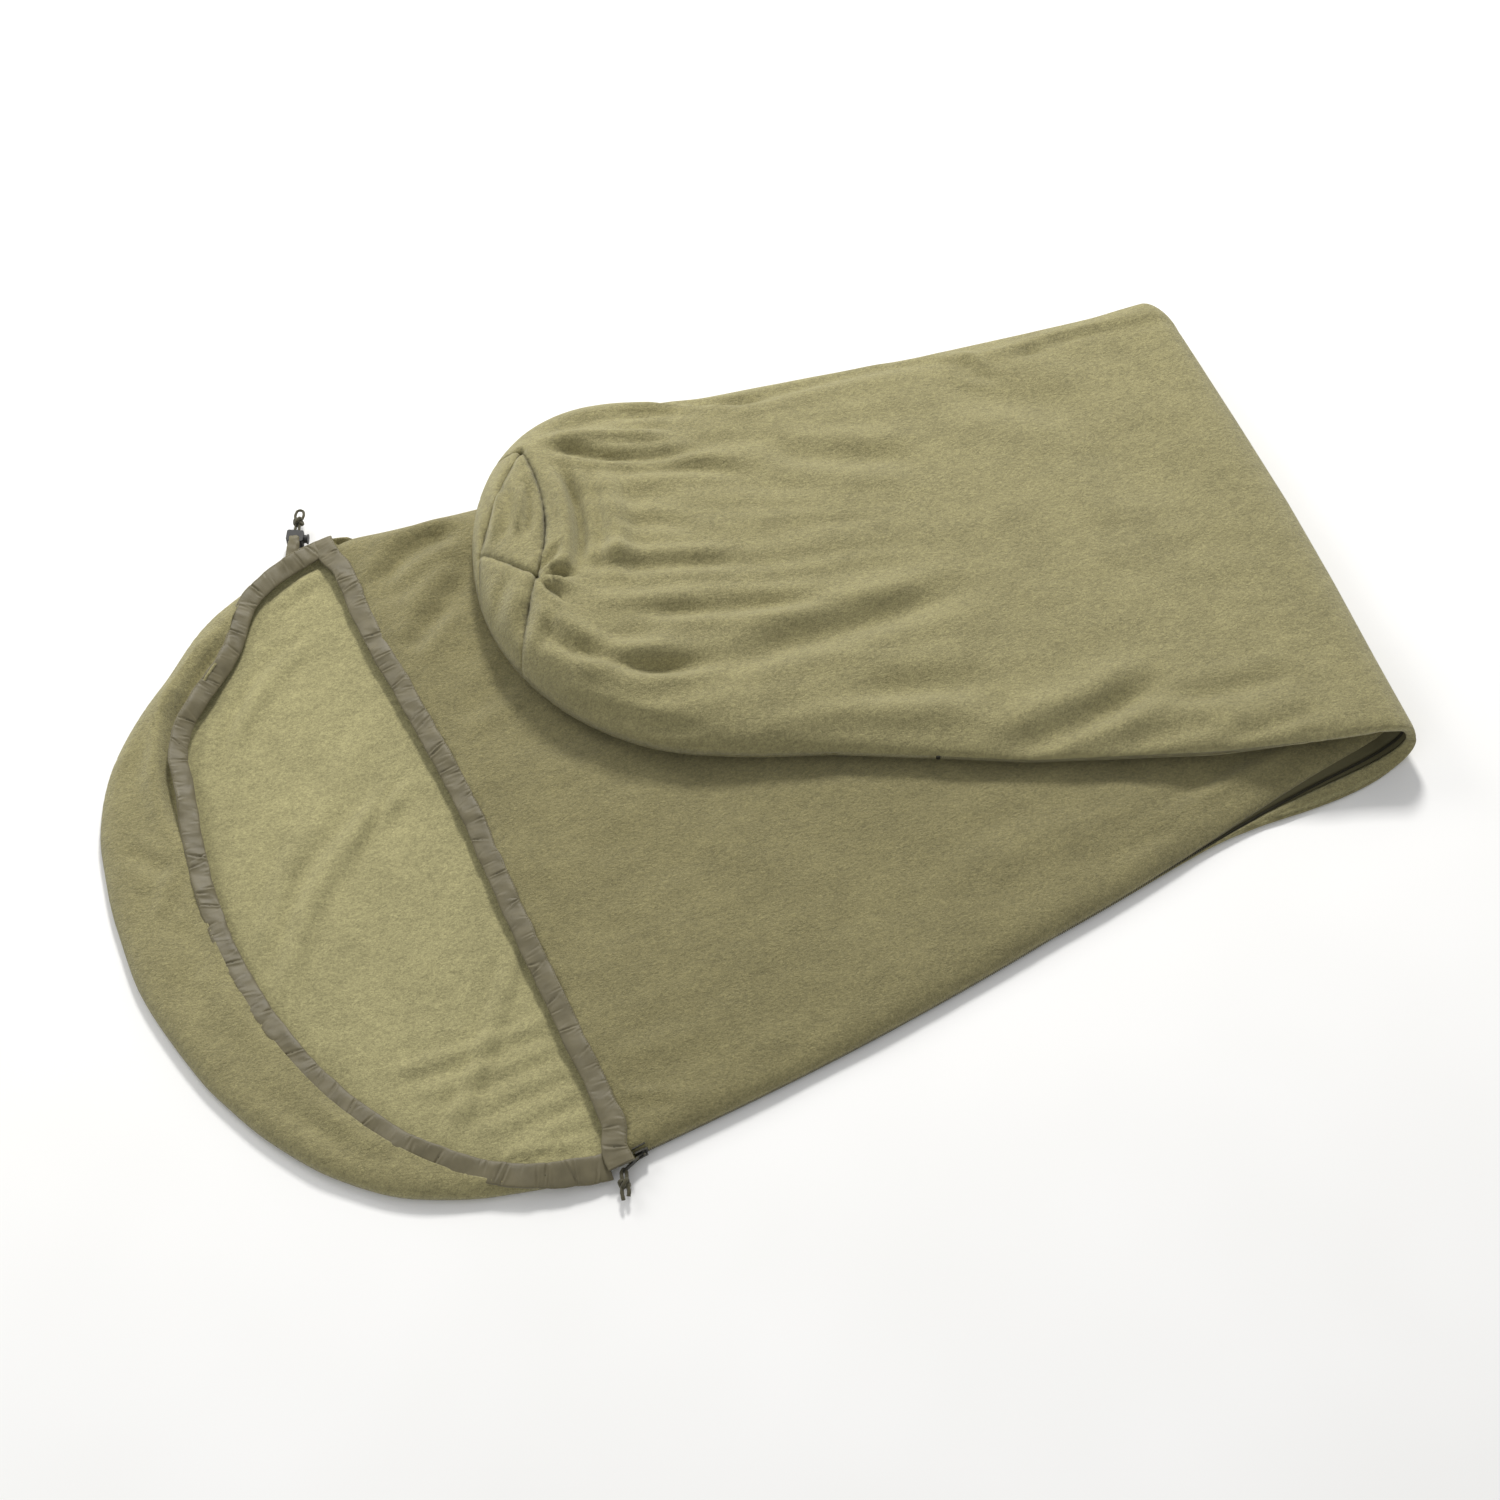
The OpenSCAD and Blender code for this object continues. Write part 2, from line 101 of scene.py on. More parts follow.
def round_edge(d, w):
    """0 on the edge, 1 from w inwards, along a quarter of an ellipse."""
    t = np.clip(d / w, 0.0, 1.0)
    return np.sqrt(np.maximum(0.0, 1 - (1 - t) ** 2))


def bell(x, width):
    """1 at zero, fading out on both sides."""
    return np.exp(-(x / width) ** 2)


def bump(x, centre, before, after=None):
    """1 at the centre, fading out over one width before it and, if given, another after it."""
    width = np.where(np.asarray(x) < centre, before, before if after is None else after)
    return bell(np.asarray(x) - centre, width)


def blunt(x, power):
    """A sine or cosine pushed towards -1 and 1, which squares off the round shape it draws."""
    return np.sign(x) * np.abs(x) ** power


def unit(v):
    return v / np.linalg.norm(v)


def lengths(line):
    """How far along a line each of its points is."""
    return np.concatenate([[0], np.cumsum(np.linalg.norm(np.diff(line, axis=0), axis=1))])


def directions(line):
    tangent = np.gradient(line, axis=0)
    return tangent / np.linalg.norm(tangent, axis=1)[:, None]


def left_of(line):
    """The direction to the left of a flat line, at each of its points."""
    tangent = directions(line)
    return np.column_stack([-tangent[:, 1], tangent[:, 0]])


def columns(t, s, values):
    """Each column of values, read off at t."""
    return np.column_stack([np.interp(t, s, values[:, k]) for k in range(values.shape[1])])


def round_angles(count):
    return np.linspace(0, 2 * math.pi, count, endpoint=False)


def circle(count, radius):
    a = round_angles(count)
    return np.column_stack([np.cos(a), np.sin(a)]) * radius


def lattice(ix, iy, seed):
    n = (ix * 374761393 + iy * 668265263 + seed * 974634777) & 0xFFFFFFFF
    n = ((n ^ (n >> 13)) * 1274126177) & 0xFFFFFFFF
    return ((n ^ (n >> 16)) & 0xFFFF) / 65535.0 * 2 * math.pi


def noise2(x, y, seed=0):
    """Smooth gradient noise of about -1 to 1."""
    x = np.asarray(x, float)
    y = np.asarray(y, float) + 0 * x
    ix = np.floor(x).astype(np.int64)
    iy = np.floor(y).astype(np.int64)
    fx, fy = x - ix, y - iy
    ux = fx ** 3 * (fx * (fx * 6 - 15) + 10)
    uy = fy ** 3 * (fy * (fy * 6 - 15) + 10)

    def corner(dx, dy):
        a = lattice(ix + dx, iy + dy, seed)
        return np.cos(a) * (fx - dx) + np.sin(a) * (fy - dy)

    top = corner(0, 0) * (1 - ux) + corner(1, 0) * ux
    bottom = corner(0, 1) * (1 - ux) + corner(1, 1) * ux
    return 1.5 * (top * (1 - uy) + bottom * uy)


def layers(x, y, seed=0, octaves=3):
    total, gain = 0.0, 1.0
    for k in range(octaves):
        total = total + gain * noise2(x * 2 ** k, y * 2 ** k, seed + 17 * k)
        gain *= 0.5
    return total


def spline(points, step):
    """A smooth line through the points, with points about a step apart."""
    p = np.array(points, float)
    ext = np.vstack([2 * p[0] - p[1], p, 2 * p[-1] - p[-2]])
    out = []
    for i in range(1, len(ext) - 2):
        a, b, c, d = ext[i - 1:i + 3]
        n = max(2, int(np.linalg.norm(c - b) / step))
        t = np.linspace(0, 1, n, endpoint=False)[:, None]
        out.append(0.5 * (2 * b + (c - a) * t + (2 * a - 5 * b + 4 * c - d) * t ** 2
                          + (3 * b - a - 3 * c + d) * t ** 3))
    return np.vstack(out + [p[-1:]])


def to_line(xy, line):
    """Signed distance to a line of points, positive on its left, and the share of its length there."""
    a, b = line[:-1], line[1:]
    best = np.full(len(xy), np.inf)
    side = np.zeros(len(xy))
    share = np.zeros(len(xy))
    length = lengths(line)
    for i in range(len(a)):
        v = b[i] - a[i]
        l2 = v @ v + 1e-18
        rel = xy - a[i]
        t = np.clip((rel @ v) / l2, 0, 1)
        dx = rel - t[:, None] * v
        d = (dx ** 2).sum(1)
        m = d < best
        best[m] = d[m]
        side[m] = (v[0] * rel[m, 1] - v[1] * rel[m, 0])
        share[m] = (length[i] + t[m] * math.sqrt(l2)) / length[-1]
    return np.sqrt(best) * np.where(side >= 0, 1, -1), share


def near_only(xy, line, reach):
    lo, hi = line.min(0) - reach, line.max(0) + reach
    return np.flatnonzero(((xy >= lo) & (xy <= hi)).all(1))


def stroke(xy, points, width, height, lip=0.45, ends=0.25):
    """A soft fold along a line, in mm: a crest, or a furrow if height is negative, and a faint lip."""
    line = spline(np.array(points, float) * MM, 12 * MM)
    w = width * MM
    out = np.zeros(len(xy))
    m = near_only(xy, line, 4 * w)
    if not len(m):
        return out
    d, s = to_line(xy[m], line)
    fade = smooth(s / ends) * smooth((1 - s) / ends)
    main = bell(d, w)
    beside = bell(np.abs(d) - 1.9 * w, 0.95 * w)
    out[m] = (main - lip * beside) * fade * height * MM
    return out


def bow(start, end, sag, points=16):
    """A shallow curve from start to end that swings out by sag, to the left of the way it runs."""
    a = np.array(start, float)
    b = np.array(end, float)
    t = np.linspace(0, 1, points)[:, None]
    left = np.array((a[1] - b[1], b[0] - a[0])) / np.linalg.norm(b - a)
    return a + (b - a) * t + 4 * sag * t * (1 - t) * left


def fold_path(start, heading, length, bend):
    """A fold's path in mm: it leaves start by a heading in degrees, and turns by bend degrees on its way."""
    turn = np.radians(heading + bend * np.linspace(0, 1, 8))
    steps = np.column_stack([np.cos(turn), np.sin(turn)]) * length / 8
    return np.vstack([start, np.array(start) + np.cumsum(steps, axis=0)])


def soft_folds(xy, folds, lip=0.45, ends=0.25, wider=1.0, taller=1.0):
    """The height of a set of folds: start, heading, length, bend, width and height of each."""
    z = np.zeros(len(xy))
    for start, heading, length, bend, width, height in folds:
        z += stroke(xy, fold_path(start, heading, length, bend), width * wider, height * taller, lip, ends)
    return z


# ---------------------------------------------------------------- sheets of cloth from an outline
def resample(line, step, closed=True):
    pts = np.vstack([line, line[:1]]) if closed else np.array(line)
    s = lengths(pts)
    n = max(3, int(round(s[-1] / step)))
    t = np.linspace(0, s[-1], n + 1)
    out = columns(t, s, pts)
    return out[:-1] if closed else out


def edge_distance(xy, outline):
    """Distance of each point to a closed outline."""
    best = np.full(len(xy), np.inf)
    a = outline
    b = np.roll(outline, -1, axis=0)
    for i in range(len(a)):
        v = b[i] - a[i]
        t = np.clip(((xy - a[i]) @ v) / (v @ v + 1e-18), 0, 1)
        best = np.minimum(best, ((xy - a[i] - t[:, None] * v) ** 2).sum(1))
    return np.sqrt(best)


def inside(xy, outline):
    x, y = xy[:, 0], xy[:, 1]
    hit = np.zeros(len(xy), bool)
    a = outline
    b = np.roll(outline, -1, axis=0)
    for (x0, y0), (x1, y1) in zip(a, b):
        if y0 == y1:
            continue
        m = (y0 > y) != (y1 > y)
        hit ^= m & (x < (x1 - x0) * (y - y0) / (y1 - y0) + x0)
    return hit


def triangulate(outline, step, rings, seams=()):
    """Vertices and triangles that fill an outline: denser rows beside the edge, then an even field."""
    edge = resample(outline, step * 0.8)
    pts = [edge]
    tangent = np.roll(edge, -1, axis=0) - np.roll(edge, 1, axis=0)
    normal = np.column_stack([-tangent[:, 1], tangent[:, 0]])
    normal /= np.linalg.norm(normal, axis=1)[:, None]
    area = 0.5 * np.sum(edge[:, 0] * np.roll(edge[:, 1], -1) - edge[:, 1] * np.roll(edge[:, 0], -1))
    if area < 0:
        normal = -normal
    coarse = resample(outline, step * 2)
    for r in rings:
        ring = edge + normal * r
        ring = ring[edge_distance(ring, coarse) > 0.93 * r]
        ring = ring[inside(ring, edge)]
        pts.append(ring)
    lo, hi = edge.min(0), edge.max(0)
    gx = np.arange(lo[0], hi[0], step)
    gy = np.arange(lo[1], hi[1], step * 0.866)
    X, Y = np.meshgrid(gx, gy)
    X = X + (np.arange(len(gy)) % 2)[:, None] * step / 2
    field = np.column_stack([X.ravel(), Y.ravel()])
    field = field[inside(field, edge)]
    field = field[edge_distance(field, coarse) > rings[-1] + 0.55 * step]
    pts.append(field)
    edges = [(i, (i + 1) % len(edge)) for i in range(len(edge))]
    inner = np.vstack(pts[1:])
    base = len(edge)
    lines = []
    for s in seams:
        line = resample(s, step * 0.6, closed=False)
        line = line[inside(line, edge)]
        line = line[edge_distance(line, coarse) > 0.3 * rings[0]]
        keep = np.abs(to_line(inner, line)[0]) > 0.4 * step
        inner = inner[keep]
        lines.append(line)
    for line in lines:
        edges += [(base + i, base + i + 1) for i in range(len(line) - 1)]
        base += len(line)
    every = np.vstack([edge] + lines + [inner])
    out = geometry.delaunay_2d_cdt([Vector(v) for v in every], edges, [], 1, 1e-7)
    return np.array([tuple(v) for v in out[0]]), [tuple(f) for f in out[2]]


def mesh_object(name, verts, faces, material, shade=True):
    me = bpy.data.meshes.new(name)
    me.from_pydata([tuple(v) for v in verts], [], [tuple(f) for f in faces])
    me.update()
    if shade:
        me.polygons.foreach_set("use_smooth", [True] * len(me.polygons))
    o = bpy.data.objects.new(name, me)
    bpy.context.scene.collection.objects.link(o)
    if material is not None:
        me.materials.append(material)
    return o


def apply_modifiers(o):
    bpy.context.view_layer.update()
    dg = bpy.context.evaluated_depsgraph_get()
    me = bpy.data.meshes.new_from_object(o.evaluated_get(dg), depsgraph=dg)
    o.modifiers.clear()
    old = o.data
    o.data = me
    bpy.data.meshes.remove(old)
    return o


def thicken(o, thickness, inner_material=None):
    """Gives a sheet its thickness on the side its normals point away from."""
    m = o.modifiers.new("thickness", "SOLIDIFY")
    m.thickness = thickness
    m.offset = -1
    m.use_even_offset = False
    if inner_material is not None:
        o.data.materials.append(inner_material)
        m.material_offset = 1
        m.material_offset_rim = 0
    return apply_modifiers(o)


def orient(verts, faces, up=True):
    """Turns every triangle the same way: facing up in the flat plan, or down."""
    out = []
    for f in faces:
        a, b, c = (verts[i] for i in f[:3])
        z = (b[0] - a[0]) * (c[1] - a[1]) - (b[1] - a[1]) * (c[0] - a[0])
        out.append(f if (z > 0) == up else f[::-1])
    return out


# ---------------------------------------------------------------- the head half's plan, and the fold
def dot(points, axis, origin=FOLD_AT):
    return (points - origin[:2]) @ axis[:2]


def head_edge(a, side):
    """The head half's edge point that lies a beyond the fold line; side is -1 by the zip, 1 by the seam."""
    w = HALF_W + TAPER_X * TAPER
    bx, by = BEYOND[0], BEYOND[1]
    x = (a + FOLD_AT[0] * bx - by * (side * w - FOLD_AT[1])) / (bx - by * side * TAPER)
    return np.array((x, side * (w - x * TAPER)))


def foot_edge(b, side):
    """The same for the foot half; b is how far beyond the fold line."""
    w = FOOT_HALF_W
    q = -side
    p = (b - q * w * (Q_AXIS @ BEYOND)) / (P_AXIS @ BEYOND - q * TAPER * (Q_AXIS @ BEYOND))
    return (FOOT_AT + p * P_AXIS + q * (w - p * TAPER) * Q_AXIS)[:2]


MIDDLE = {s: 0.5 * (dot(head_edge(QUARTER, s), ALONG) + dot(foot_edge(QUARTER, s), ALONG)) for s in (-1, 1)}


def fold_reach(c):
    """How far the fold stands out beyond its line, as a share of its radius, at c along it."""
    at = np.array((-300, -200, -90, 20, 140, 240, 310)) * MM
    k = np.array((0.96, 1.03, 1.15, 1.19, 1.08, 0.95, 0.86))
    return np.interp(c, at, k)


def round_fold(plan, h, edge_at, top):
    """Bends a plan round the fold where it runs past it. h is the depth inside the fold's outer face."""
    a = dot(plan, BEYOND)
    c = dot(plan, ALONG)
    out = np.column_stack([plan, h])
    m = a > 0
    if m.any():
        am = a[m]
        near = np.array([dot(edge_at(v, -1), ALONG) for v in am])
        far = np.array([dot(edge_at(v, 1), ALONG) for v in am])
        share = (c[m] - near) / (far - near)
        near_end = dot(edge_at(QUARTER, -1), ALONG)
        far_end = dot(edge_at(QUARTER, 1), ALONG)
        shift = (MIDDLE[-1] - near_end) * (1 - share) + (MIDDLE[1] - far_end) * share
        cm = c[m] + shift * smooth(am / QUARTER)
        phi = np.clip(am / FOLD_R, 0, math.pi / 2)
        r = FOLD_R - h[m]
        off = r * np.sin(phi) * fold_reach(cm)
        xy = FOLD_AT[:2] + np.outer(off, BEYOND[:2]) + np.outer(cm, ALONG[:2])
        out[m, :2] = xy
        out[m, 2] = FOLD_R - r * np.cos(phi)
    if top:
        out[:, 2] = 2 * FOLD_R - out[:, 2]
    return out


def bulged(x):
    """The zip side of the head half is not quite straight: it swells a little below the chest."""
    return 7 * MM * np.sin(math.pi * np.clip((x - TAPER_X) / (480 * MM), 0, 1))


def head_side(side, x_from, a_to, n=60):
    start = np.array((x_from, side * (HALF_W - (x_from - TAPER_X) * TAPER)))
    end = head_edge(a_to, side)
    t = np.linspace(0, 1, n)[:, None]
    line = start * (1 - t) + end * t
    if side < 0:
        line[:, 1] -= bulged(line[:, 0])
    return line


def hood_arc(first=90, points=90):
    """The crown's outline, a little full by the zip side and flatter by the seam side."""
    t = np.radians(np.linspace(first, 270, points))
    deg = np.degrees(t)
    full = 1 + 0.026 * bump(deg, 154, 11) - 0.016 * bump(deg, 128, 9) + 0.034 * bump(deg, 232, 22)
    full = full + 0.004 * noise2(deg / 9.0, 3.5, 5)
    return np.column_stack([HOOD_L * np.cos(t), HALF_W * np.sin(t)]) * full[:, None]


# The hems' centre lines, in mm
HOOD_DEEP = 265
HEM_HALF = 397


def hood_hem_line():
    """An ellipse round the opening, drawn in at the far shoulder and full beside it."""
    t = np.radians(np.linspace(90, 270, 60))
    y = HEM_HALF * np.sin(t)
    roll = 22 * bump(y, 306, 42) - 11 * bump(y, 212, 42)
    return spline(np.column_stack([HOOD_DEEP * np.cos(t) + roll - 3, y]) * MM, 4 * MM)


def chest_hem_line():
    """Almost straight across the chest, slanting a little and drawn back at both ends."""
    y = np.linspace(HEM_HALF + 8, -HEM_HALF - 8, 40)
    x = 8 - 0.028 * y - 7 * bump(y, 290, 80) + 6 * bump(y, 30, 90) - 13 * bump(np.abs(y), HEM_HALF, 24)
    return spline(np.column_stack([x, y]) * MM, 4 * MM)


HOOD_HEM = hood_hem_line()
CHEST_HEM = chest_hem_line()
HEM_W = 22 * MM


def head_outline(a):
    """The head half's own edge, from a beyond the fold line on one side to the same on the other."""
    return np.vstack([head_side(1, TAPER_X, a)[::-1], hood_arc()[1:-1], head_side(-1, TAPER_X, a)])


def back_rise(xy):
    """Height of the back panel's underside above the floor: a few soft wrinkles in the opening."""
    folds = [
        ((0, 90), 195, 340, 55, 13, 5), ((-150, 80), 232, 170, 12, 12, 3.4),
        ((-30, 160), 205, 215, 45, 16, 1.8), ((10, -120), 238, 250, -12, 9, 4.2),
        ((-20, 372), 188, 80, 25, 7, 3.6), ((-70, 312), 205, 240, 50, 8, -3.6),
        ((-56, 300), 208, 190, 20, 10, 3), ((-28, 100), 215, 145, 25, 6, -4.5),
        ((-60, 330), 218, 130, 6, 9, 2), ((6, -376), 168, 116, 0, 3.2, -4.5),
        ((6, -366), 168, 112, 0, 4.5, 3)]
    # low wrinkles that run in from the zip end of the chest hem
    folds += [((15, -225 - 28 * k), 182, 190 - 20 * k, 4 * k - 8, 8, 2.9 - 0.3 * k) for k in range(5)]
    z = soft_folds(xy, folds, lip=0.35, wider=0.85, taller=1.35)
    x, y = xy[:, 0] / MM, xy[:, 1] / MM
    z += (0.9 * layers(x / 90, y / 90, 3) + 0.4 * layers(x / 28, y / 34, 8)) * MM
    # stretch lines that fan out from the zip end of the chest hem
    reach = np.hypot(x - 40, y + 330)
    fan = np.arctan2(y + 330, -(x - 40)) * 9
    fade = smooth((reach - 20) / 60) * (1 - smooth((reach - 120) / 170))
    z += 0.9 * MM * noise2(fan, reach / 160, 12) * fade
    return np.maximum(z + 2.2 * MM, 0.2 * MM)


def head_top(xy):
    """Height of the front panel's upper face."""
    x, y = xy[:, 0] / MM, xy[:, 1] / MM
    z = HEAD_H + 2.6 * MM * layers(x / 190, y / 150, 21, 2) + 1.2 * MM * layers(x / 62, y / 44, 24)
    z += soft_folds(xy, (
        # the cloth bunches where the front panel turns over at the far shoulder
        ((130, 350), 170, 122, 55, 11, -9), ((112, 314), 205, 95, 0, 13, 6),
        ((86, 274), 215, 84, 0, 10, -5.5), ((140, 372), 176, 120, 0, 12, 3),
        ((230, 404), 178, 210, 0, 34, -10), ((150, 330), 217, 100, 5, 16, -2.4),
        ((30, 384), -6, 120, 0, 12, 2.6),
        # slack along the chest hem and towards the zip side of the fold
        ((34, -334), -24, 68, 0, 6, 2.6), ((40, -300), -3, 110, 0, 12, 1.6),
        ((34, 112), 5, 88, 15, 9, 1.8), ((30, 150), 24, 120, 8, 12, 1.4), ((250, -240), -86, 72, 0, 9, 1),
        ((180, -60), -40, 180, -20, 26, 1.6), ((420, -250), 4, 280, -5, 22, 2.6),
        ((640, -296), 14, 225, -8, 15, 3.4), ((560, -300), 6, 240, -4, 9, -1.6),
        ((80, -30), -5, 150, 10, 22, 1.2)))
    near_fold = smooth((xy[:, 0] - (FOLD_AT[0] - 130 * MM)) / (130 * MM))
    z = z * (1 - near_fold) + (HEAD_H + 0.2 * (z - HEAD_H)) * near_fold
    gather = np.exp(-np.clip(xy[:, 0] - 12 * MM, 0, 1) / (16 * MM))
    z += gather * 0.9 * MM * noise2(y / 8.5, x / 90, 31)
    return z


# ---------------------------------------------------------------- the foot half's plan
def foot_plan_to_frame(pq):
    return FOOT_AT[:2] + np.outer(pq[:, 0], P_AXIS[:2]) + np.outer(pq[:, 1], Q_AXIS[:2])


def foot_drift(p):
    """The foot end has slid a little away from the zip side."""
    return -34 * MM * smooth((p - 560 * MM) / (280 * MM))


def foot_half_width(p):
    return FOOT_HALF_W - p * TAPER


def foot_side(side, b_from, n=60):
    """An edge of the foot half as p and q, from b beyond the fold line to the start of the round end."""
    start = foot_edge(b_from, side) - FOOT_AT[:2]
    p0 = start @ P_AXIS[:2]
    p = np.linspace(p0, CAP_P, n)
    q = -side * foot_half_width(p)
    if side < 0:
        q += np.interp(p / MM, (-60, 10, 100, 300, 400, 500, 620), (0, 8, 12, 13, 5, -2, 0)) * MM
    return np.column_stack([p, q + foot_drift(p)])


def foot_cap(n=90):
    w = foot_half_width(CAP_P)
    t = np.radians(np.linspace(90, -90, n))
    e = 2 / CAP_POWER
    p = CAP_P + (FOOT_L - CAP_P) * np.abs(np.cos(t)) ** e
    q = w * blunt(np.sin(t), e)
    return np.column_stack([p, q + foot_drift(p)])


def foot_outline(b):
    return np.vstack([foot_side(-1, b), foot_cap()[1:-1], foot_side(1, b)[::-1]])


# Seams of the foot box, as p and q
JUNCTION_FAR = (779, -155)
JUNCTION_NEAR = (779, 13)
SEAM_MEET = (836, -38)


def seam_line(start, end, sag):
    return spline(bow(start, end, sag) * MM, 3.5 * MM)


def side_seam_line():
    """The side seam as it lies on the folded foot half: it wanders in, then back out."""
    p = np.linspace(-40, 620, 34)
    q = -262 + 0.06 * (p + 40) + 16 * bump(p, 250, 55) - 9 * bump(p, 420, 70)
    return spline(np.column_stack([p, q]) * MM, 8 * MM)


TOP_SEAM = seam_line(JUNCTION_FAR, JUNCTION_NEAR, 16)
ARC_SEAM = seam_line(JUNCTION_FAR, SEAM_MEET, -5)
OUTER_SEAM = seam_line(SEAM_MEET, (834, 70), -6)
SHORT_SEAM = seam_line(JUNCTION_NEAR, SEAM_MEET, 2)
NEAR_SEAM = seam_line(JUNCTION_NEAR, (812, 140), -5)
FAR_SEAM = seam_line(JUNCTION_FAR, (840, -164), -3)
SIDE_SEAM = side_seam_line()


def seam_gathers(pq):
    """Folds that follow the foot box's seams: a rim and hollows behind the top one, and crumpled panels."""
    z = np.zeros(len(pq))
    for back, width, height in ((18, 8, 4), (38, 6.5, -17), (54, 12, -8), (74, 14, 6)):
        rim = bow((JUNCTION_FAR[0] - back, -148 + back / 3), (JUNCTION_NEAR[0] - back, 8 + back / 3), 14)
        z += stroke(pq, rim, width, height, ends=0.3)
    for k in range(5):
        crumple = bow((776 + 11 * k, -116), (786 + 13 * k, -34), 4)
        z += stroke(pq, crumple, 5.5, -5 if k % 2 == 0 else 6, ends=0.3)
    for k in range(4):
        crease = fold_path((772 + 13 * k, 48 - 15 * k), 66, 54, 0)
        z += stroke(pq, crease, 6, 5 if k % 2 == 0 else -6, ends=0.3)
    for k in range(5):
        small = fold_path(JUNCTION_NEAR, 128 + 26 * k, 50, 0)
        z += stroke(pq, small, 4.5, -7 if k % 2 == 0 else 5, ends=0.3)
    return z


def foot_top(pq):
    """Height of the foot half's upper face."""
    p, q = pq[:, 0] / MM, pq[:, 1] / MM
    along = np.array((-60, 0, 90, 200, 330, 460, 580, 680, 740, 776, 830, 900))
    crown = np.array((64, 64, 59, 56, 58, 63, 71, 81, 88, 91, 88, 84))
    z = np.interp(p, along, crown) * MM
    drift = foot_drift(pq[:, 0])
    across = np.clip((pq[:, 1] - drift) / foot_half_width(pq[:, 0]), -1, 1)
    z += (5 - 9 * np.abs(across) ** 2.2) * MM * smooth((p - 60) / 240)
    z += seam_gathers(pq)
    z += soft_folds(pq, (
        # a roll behind the far end of the top seam, with a hollow on each side
        ((769, -161), 188, 165, -16, 7, 8), ((764, -160), 160, 200, 30, 6.5, -9.5),
        ((768, -176), 196, 230, -22, 8, -7), ((650, -230), 160, 160, 25, 5, -7),
        ((700, -232), 162, 195, 14, 9, 4), ((592, -182), 202, 295, -20, 8, -6),
        ((375, -250), 192, 76, 0, 5, -5),
        # long folds that run from the foot box towards the fold
        ((803, 44), 124, 255, 74, 9.5, -11), ((770, 126), 180, 160, 30, 12, 5),
        ((712, 58), 172, 245, 12, 9, -6), ((746, 45), 168, 160, 22, 11, 4),
        ((748, 2), 174, 200, 8, 8, -4.5), ((742, -22), 168, 185, 12, 9, 3),
        ((690, -116), 188, 160, -26, 8, -5), ((650, -140), 174, 172, -2, 12, 3),
        ((540, -138), 168, 205, 4, 15, -5.5), ((630, 138), 191, 340, 4, 15, -8),
        ((610, 100), 190, 265, 0, 17, 4), ((475, 178), 176, 165, 4, 16, -5),
        ((540, 196), 172, 212, 6, 14, 4), ((795, 127), 142, 200, 26, 6, -8),
        ((800, 140), 138, 185, 26, 8, 5), ((720, -78), 184, 112, -8, 10, -3),
        ((700, -48), 178, 104, -10, 8, -3),
        # slack by the zip corner and by the side seam, and two broad waves across the fold
        ((360, 268), 184, 240, 28, 14, -9), ((330, 234), 192, 182, 12, 18, 4),
        ((300, 290), 190, 235, -8, 12, -5), ((160, 236), 180, 170, 14, 12, -4),
        ((120, 288), 184, 142, 12, 8, -4), ((330, -200), 168, 190, -10, 24, -5),
        ((300, -226), 158, 66, 0, 7, -3), ((290, -246), 158, 42, -20, 6, 3),
        ((160, -120), 122, 134, -12, 34, -3.4), ((60, -180), 112, 184, -14, 30, 2.4)), ends=0.3)
    z += (1.0 * layers(p / 150, q / 60, 41, 2) + 0.55 * layers(p / 52, q / 30, 45)) * MM
    # small folds that run the length of the sack, strongest behind the foot box
    sweep_q = q + 22 * noise2(p / 210, q / 160, 47)
    pull = smooth((p - 240) / 330) * (1 - smooth((p - 700) / 60)) + 0.25 * smooth((240 - p) / 200)
    z += 2.6 * MM * pull * noise2(p / 130, sweep_q / 21, 48)
    deep = [(line, 2.6, 4) for line in (TOP_SEAM, ARC_SEAM)]
    shallow = [(line, 2.4, 3) for line in (SHORT_SEAM, NEAR_SEAM, FAR_SEAM, OUTER_SEAM)]
    for line, width, depth in deep + shallow:
        m = near_only(pq, line, 30 * MM)
        e = np.abs(to_line(pq[m], line)[0])
        pucker = 1 + 0.5 * noise2(pq[m, 0] / (7 * MM), pq[m, 1] / (7 * MM), 51)
        groove = bell(e, width * MM) * pucker
        roll = bell(e - 8 * MM, 5 * MM)
        z[m] += (0.3 * roll - groove) * depth * MM
    m = near_only(pq, SIDE_SEAM, 30 * MM)
    e, s = to_line(pq[m], SIDE_SEAM)
    weight = smooth((0.62 - s) / 0.2) * 0.9 + 0.1
    z[m] += (-bell(e, 3.2 * MM) * 7.5 + bell(e + 12 * MM, 8 * MM) * 4.5) * weight * MM
    return z


def foot_round(pq):
    """Width over which the upper face turns down to the edge."""
    p = pq[:, 0] / MM
    return np.interp(p, (0, 60, 300, 650, 780, 860), (30, 34, 42, 50, 58, 60)) * MM


def foot_seam_z(pq):
    """Height of the foot half's edge, where its two faces meet."""
    p = pq[:, 0] / MM
    return np.interp(p, (-60, 0, 120, 300, 620, 800), (53, 53, 42, 36, 38, 42)) * MM


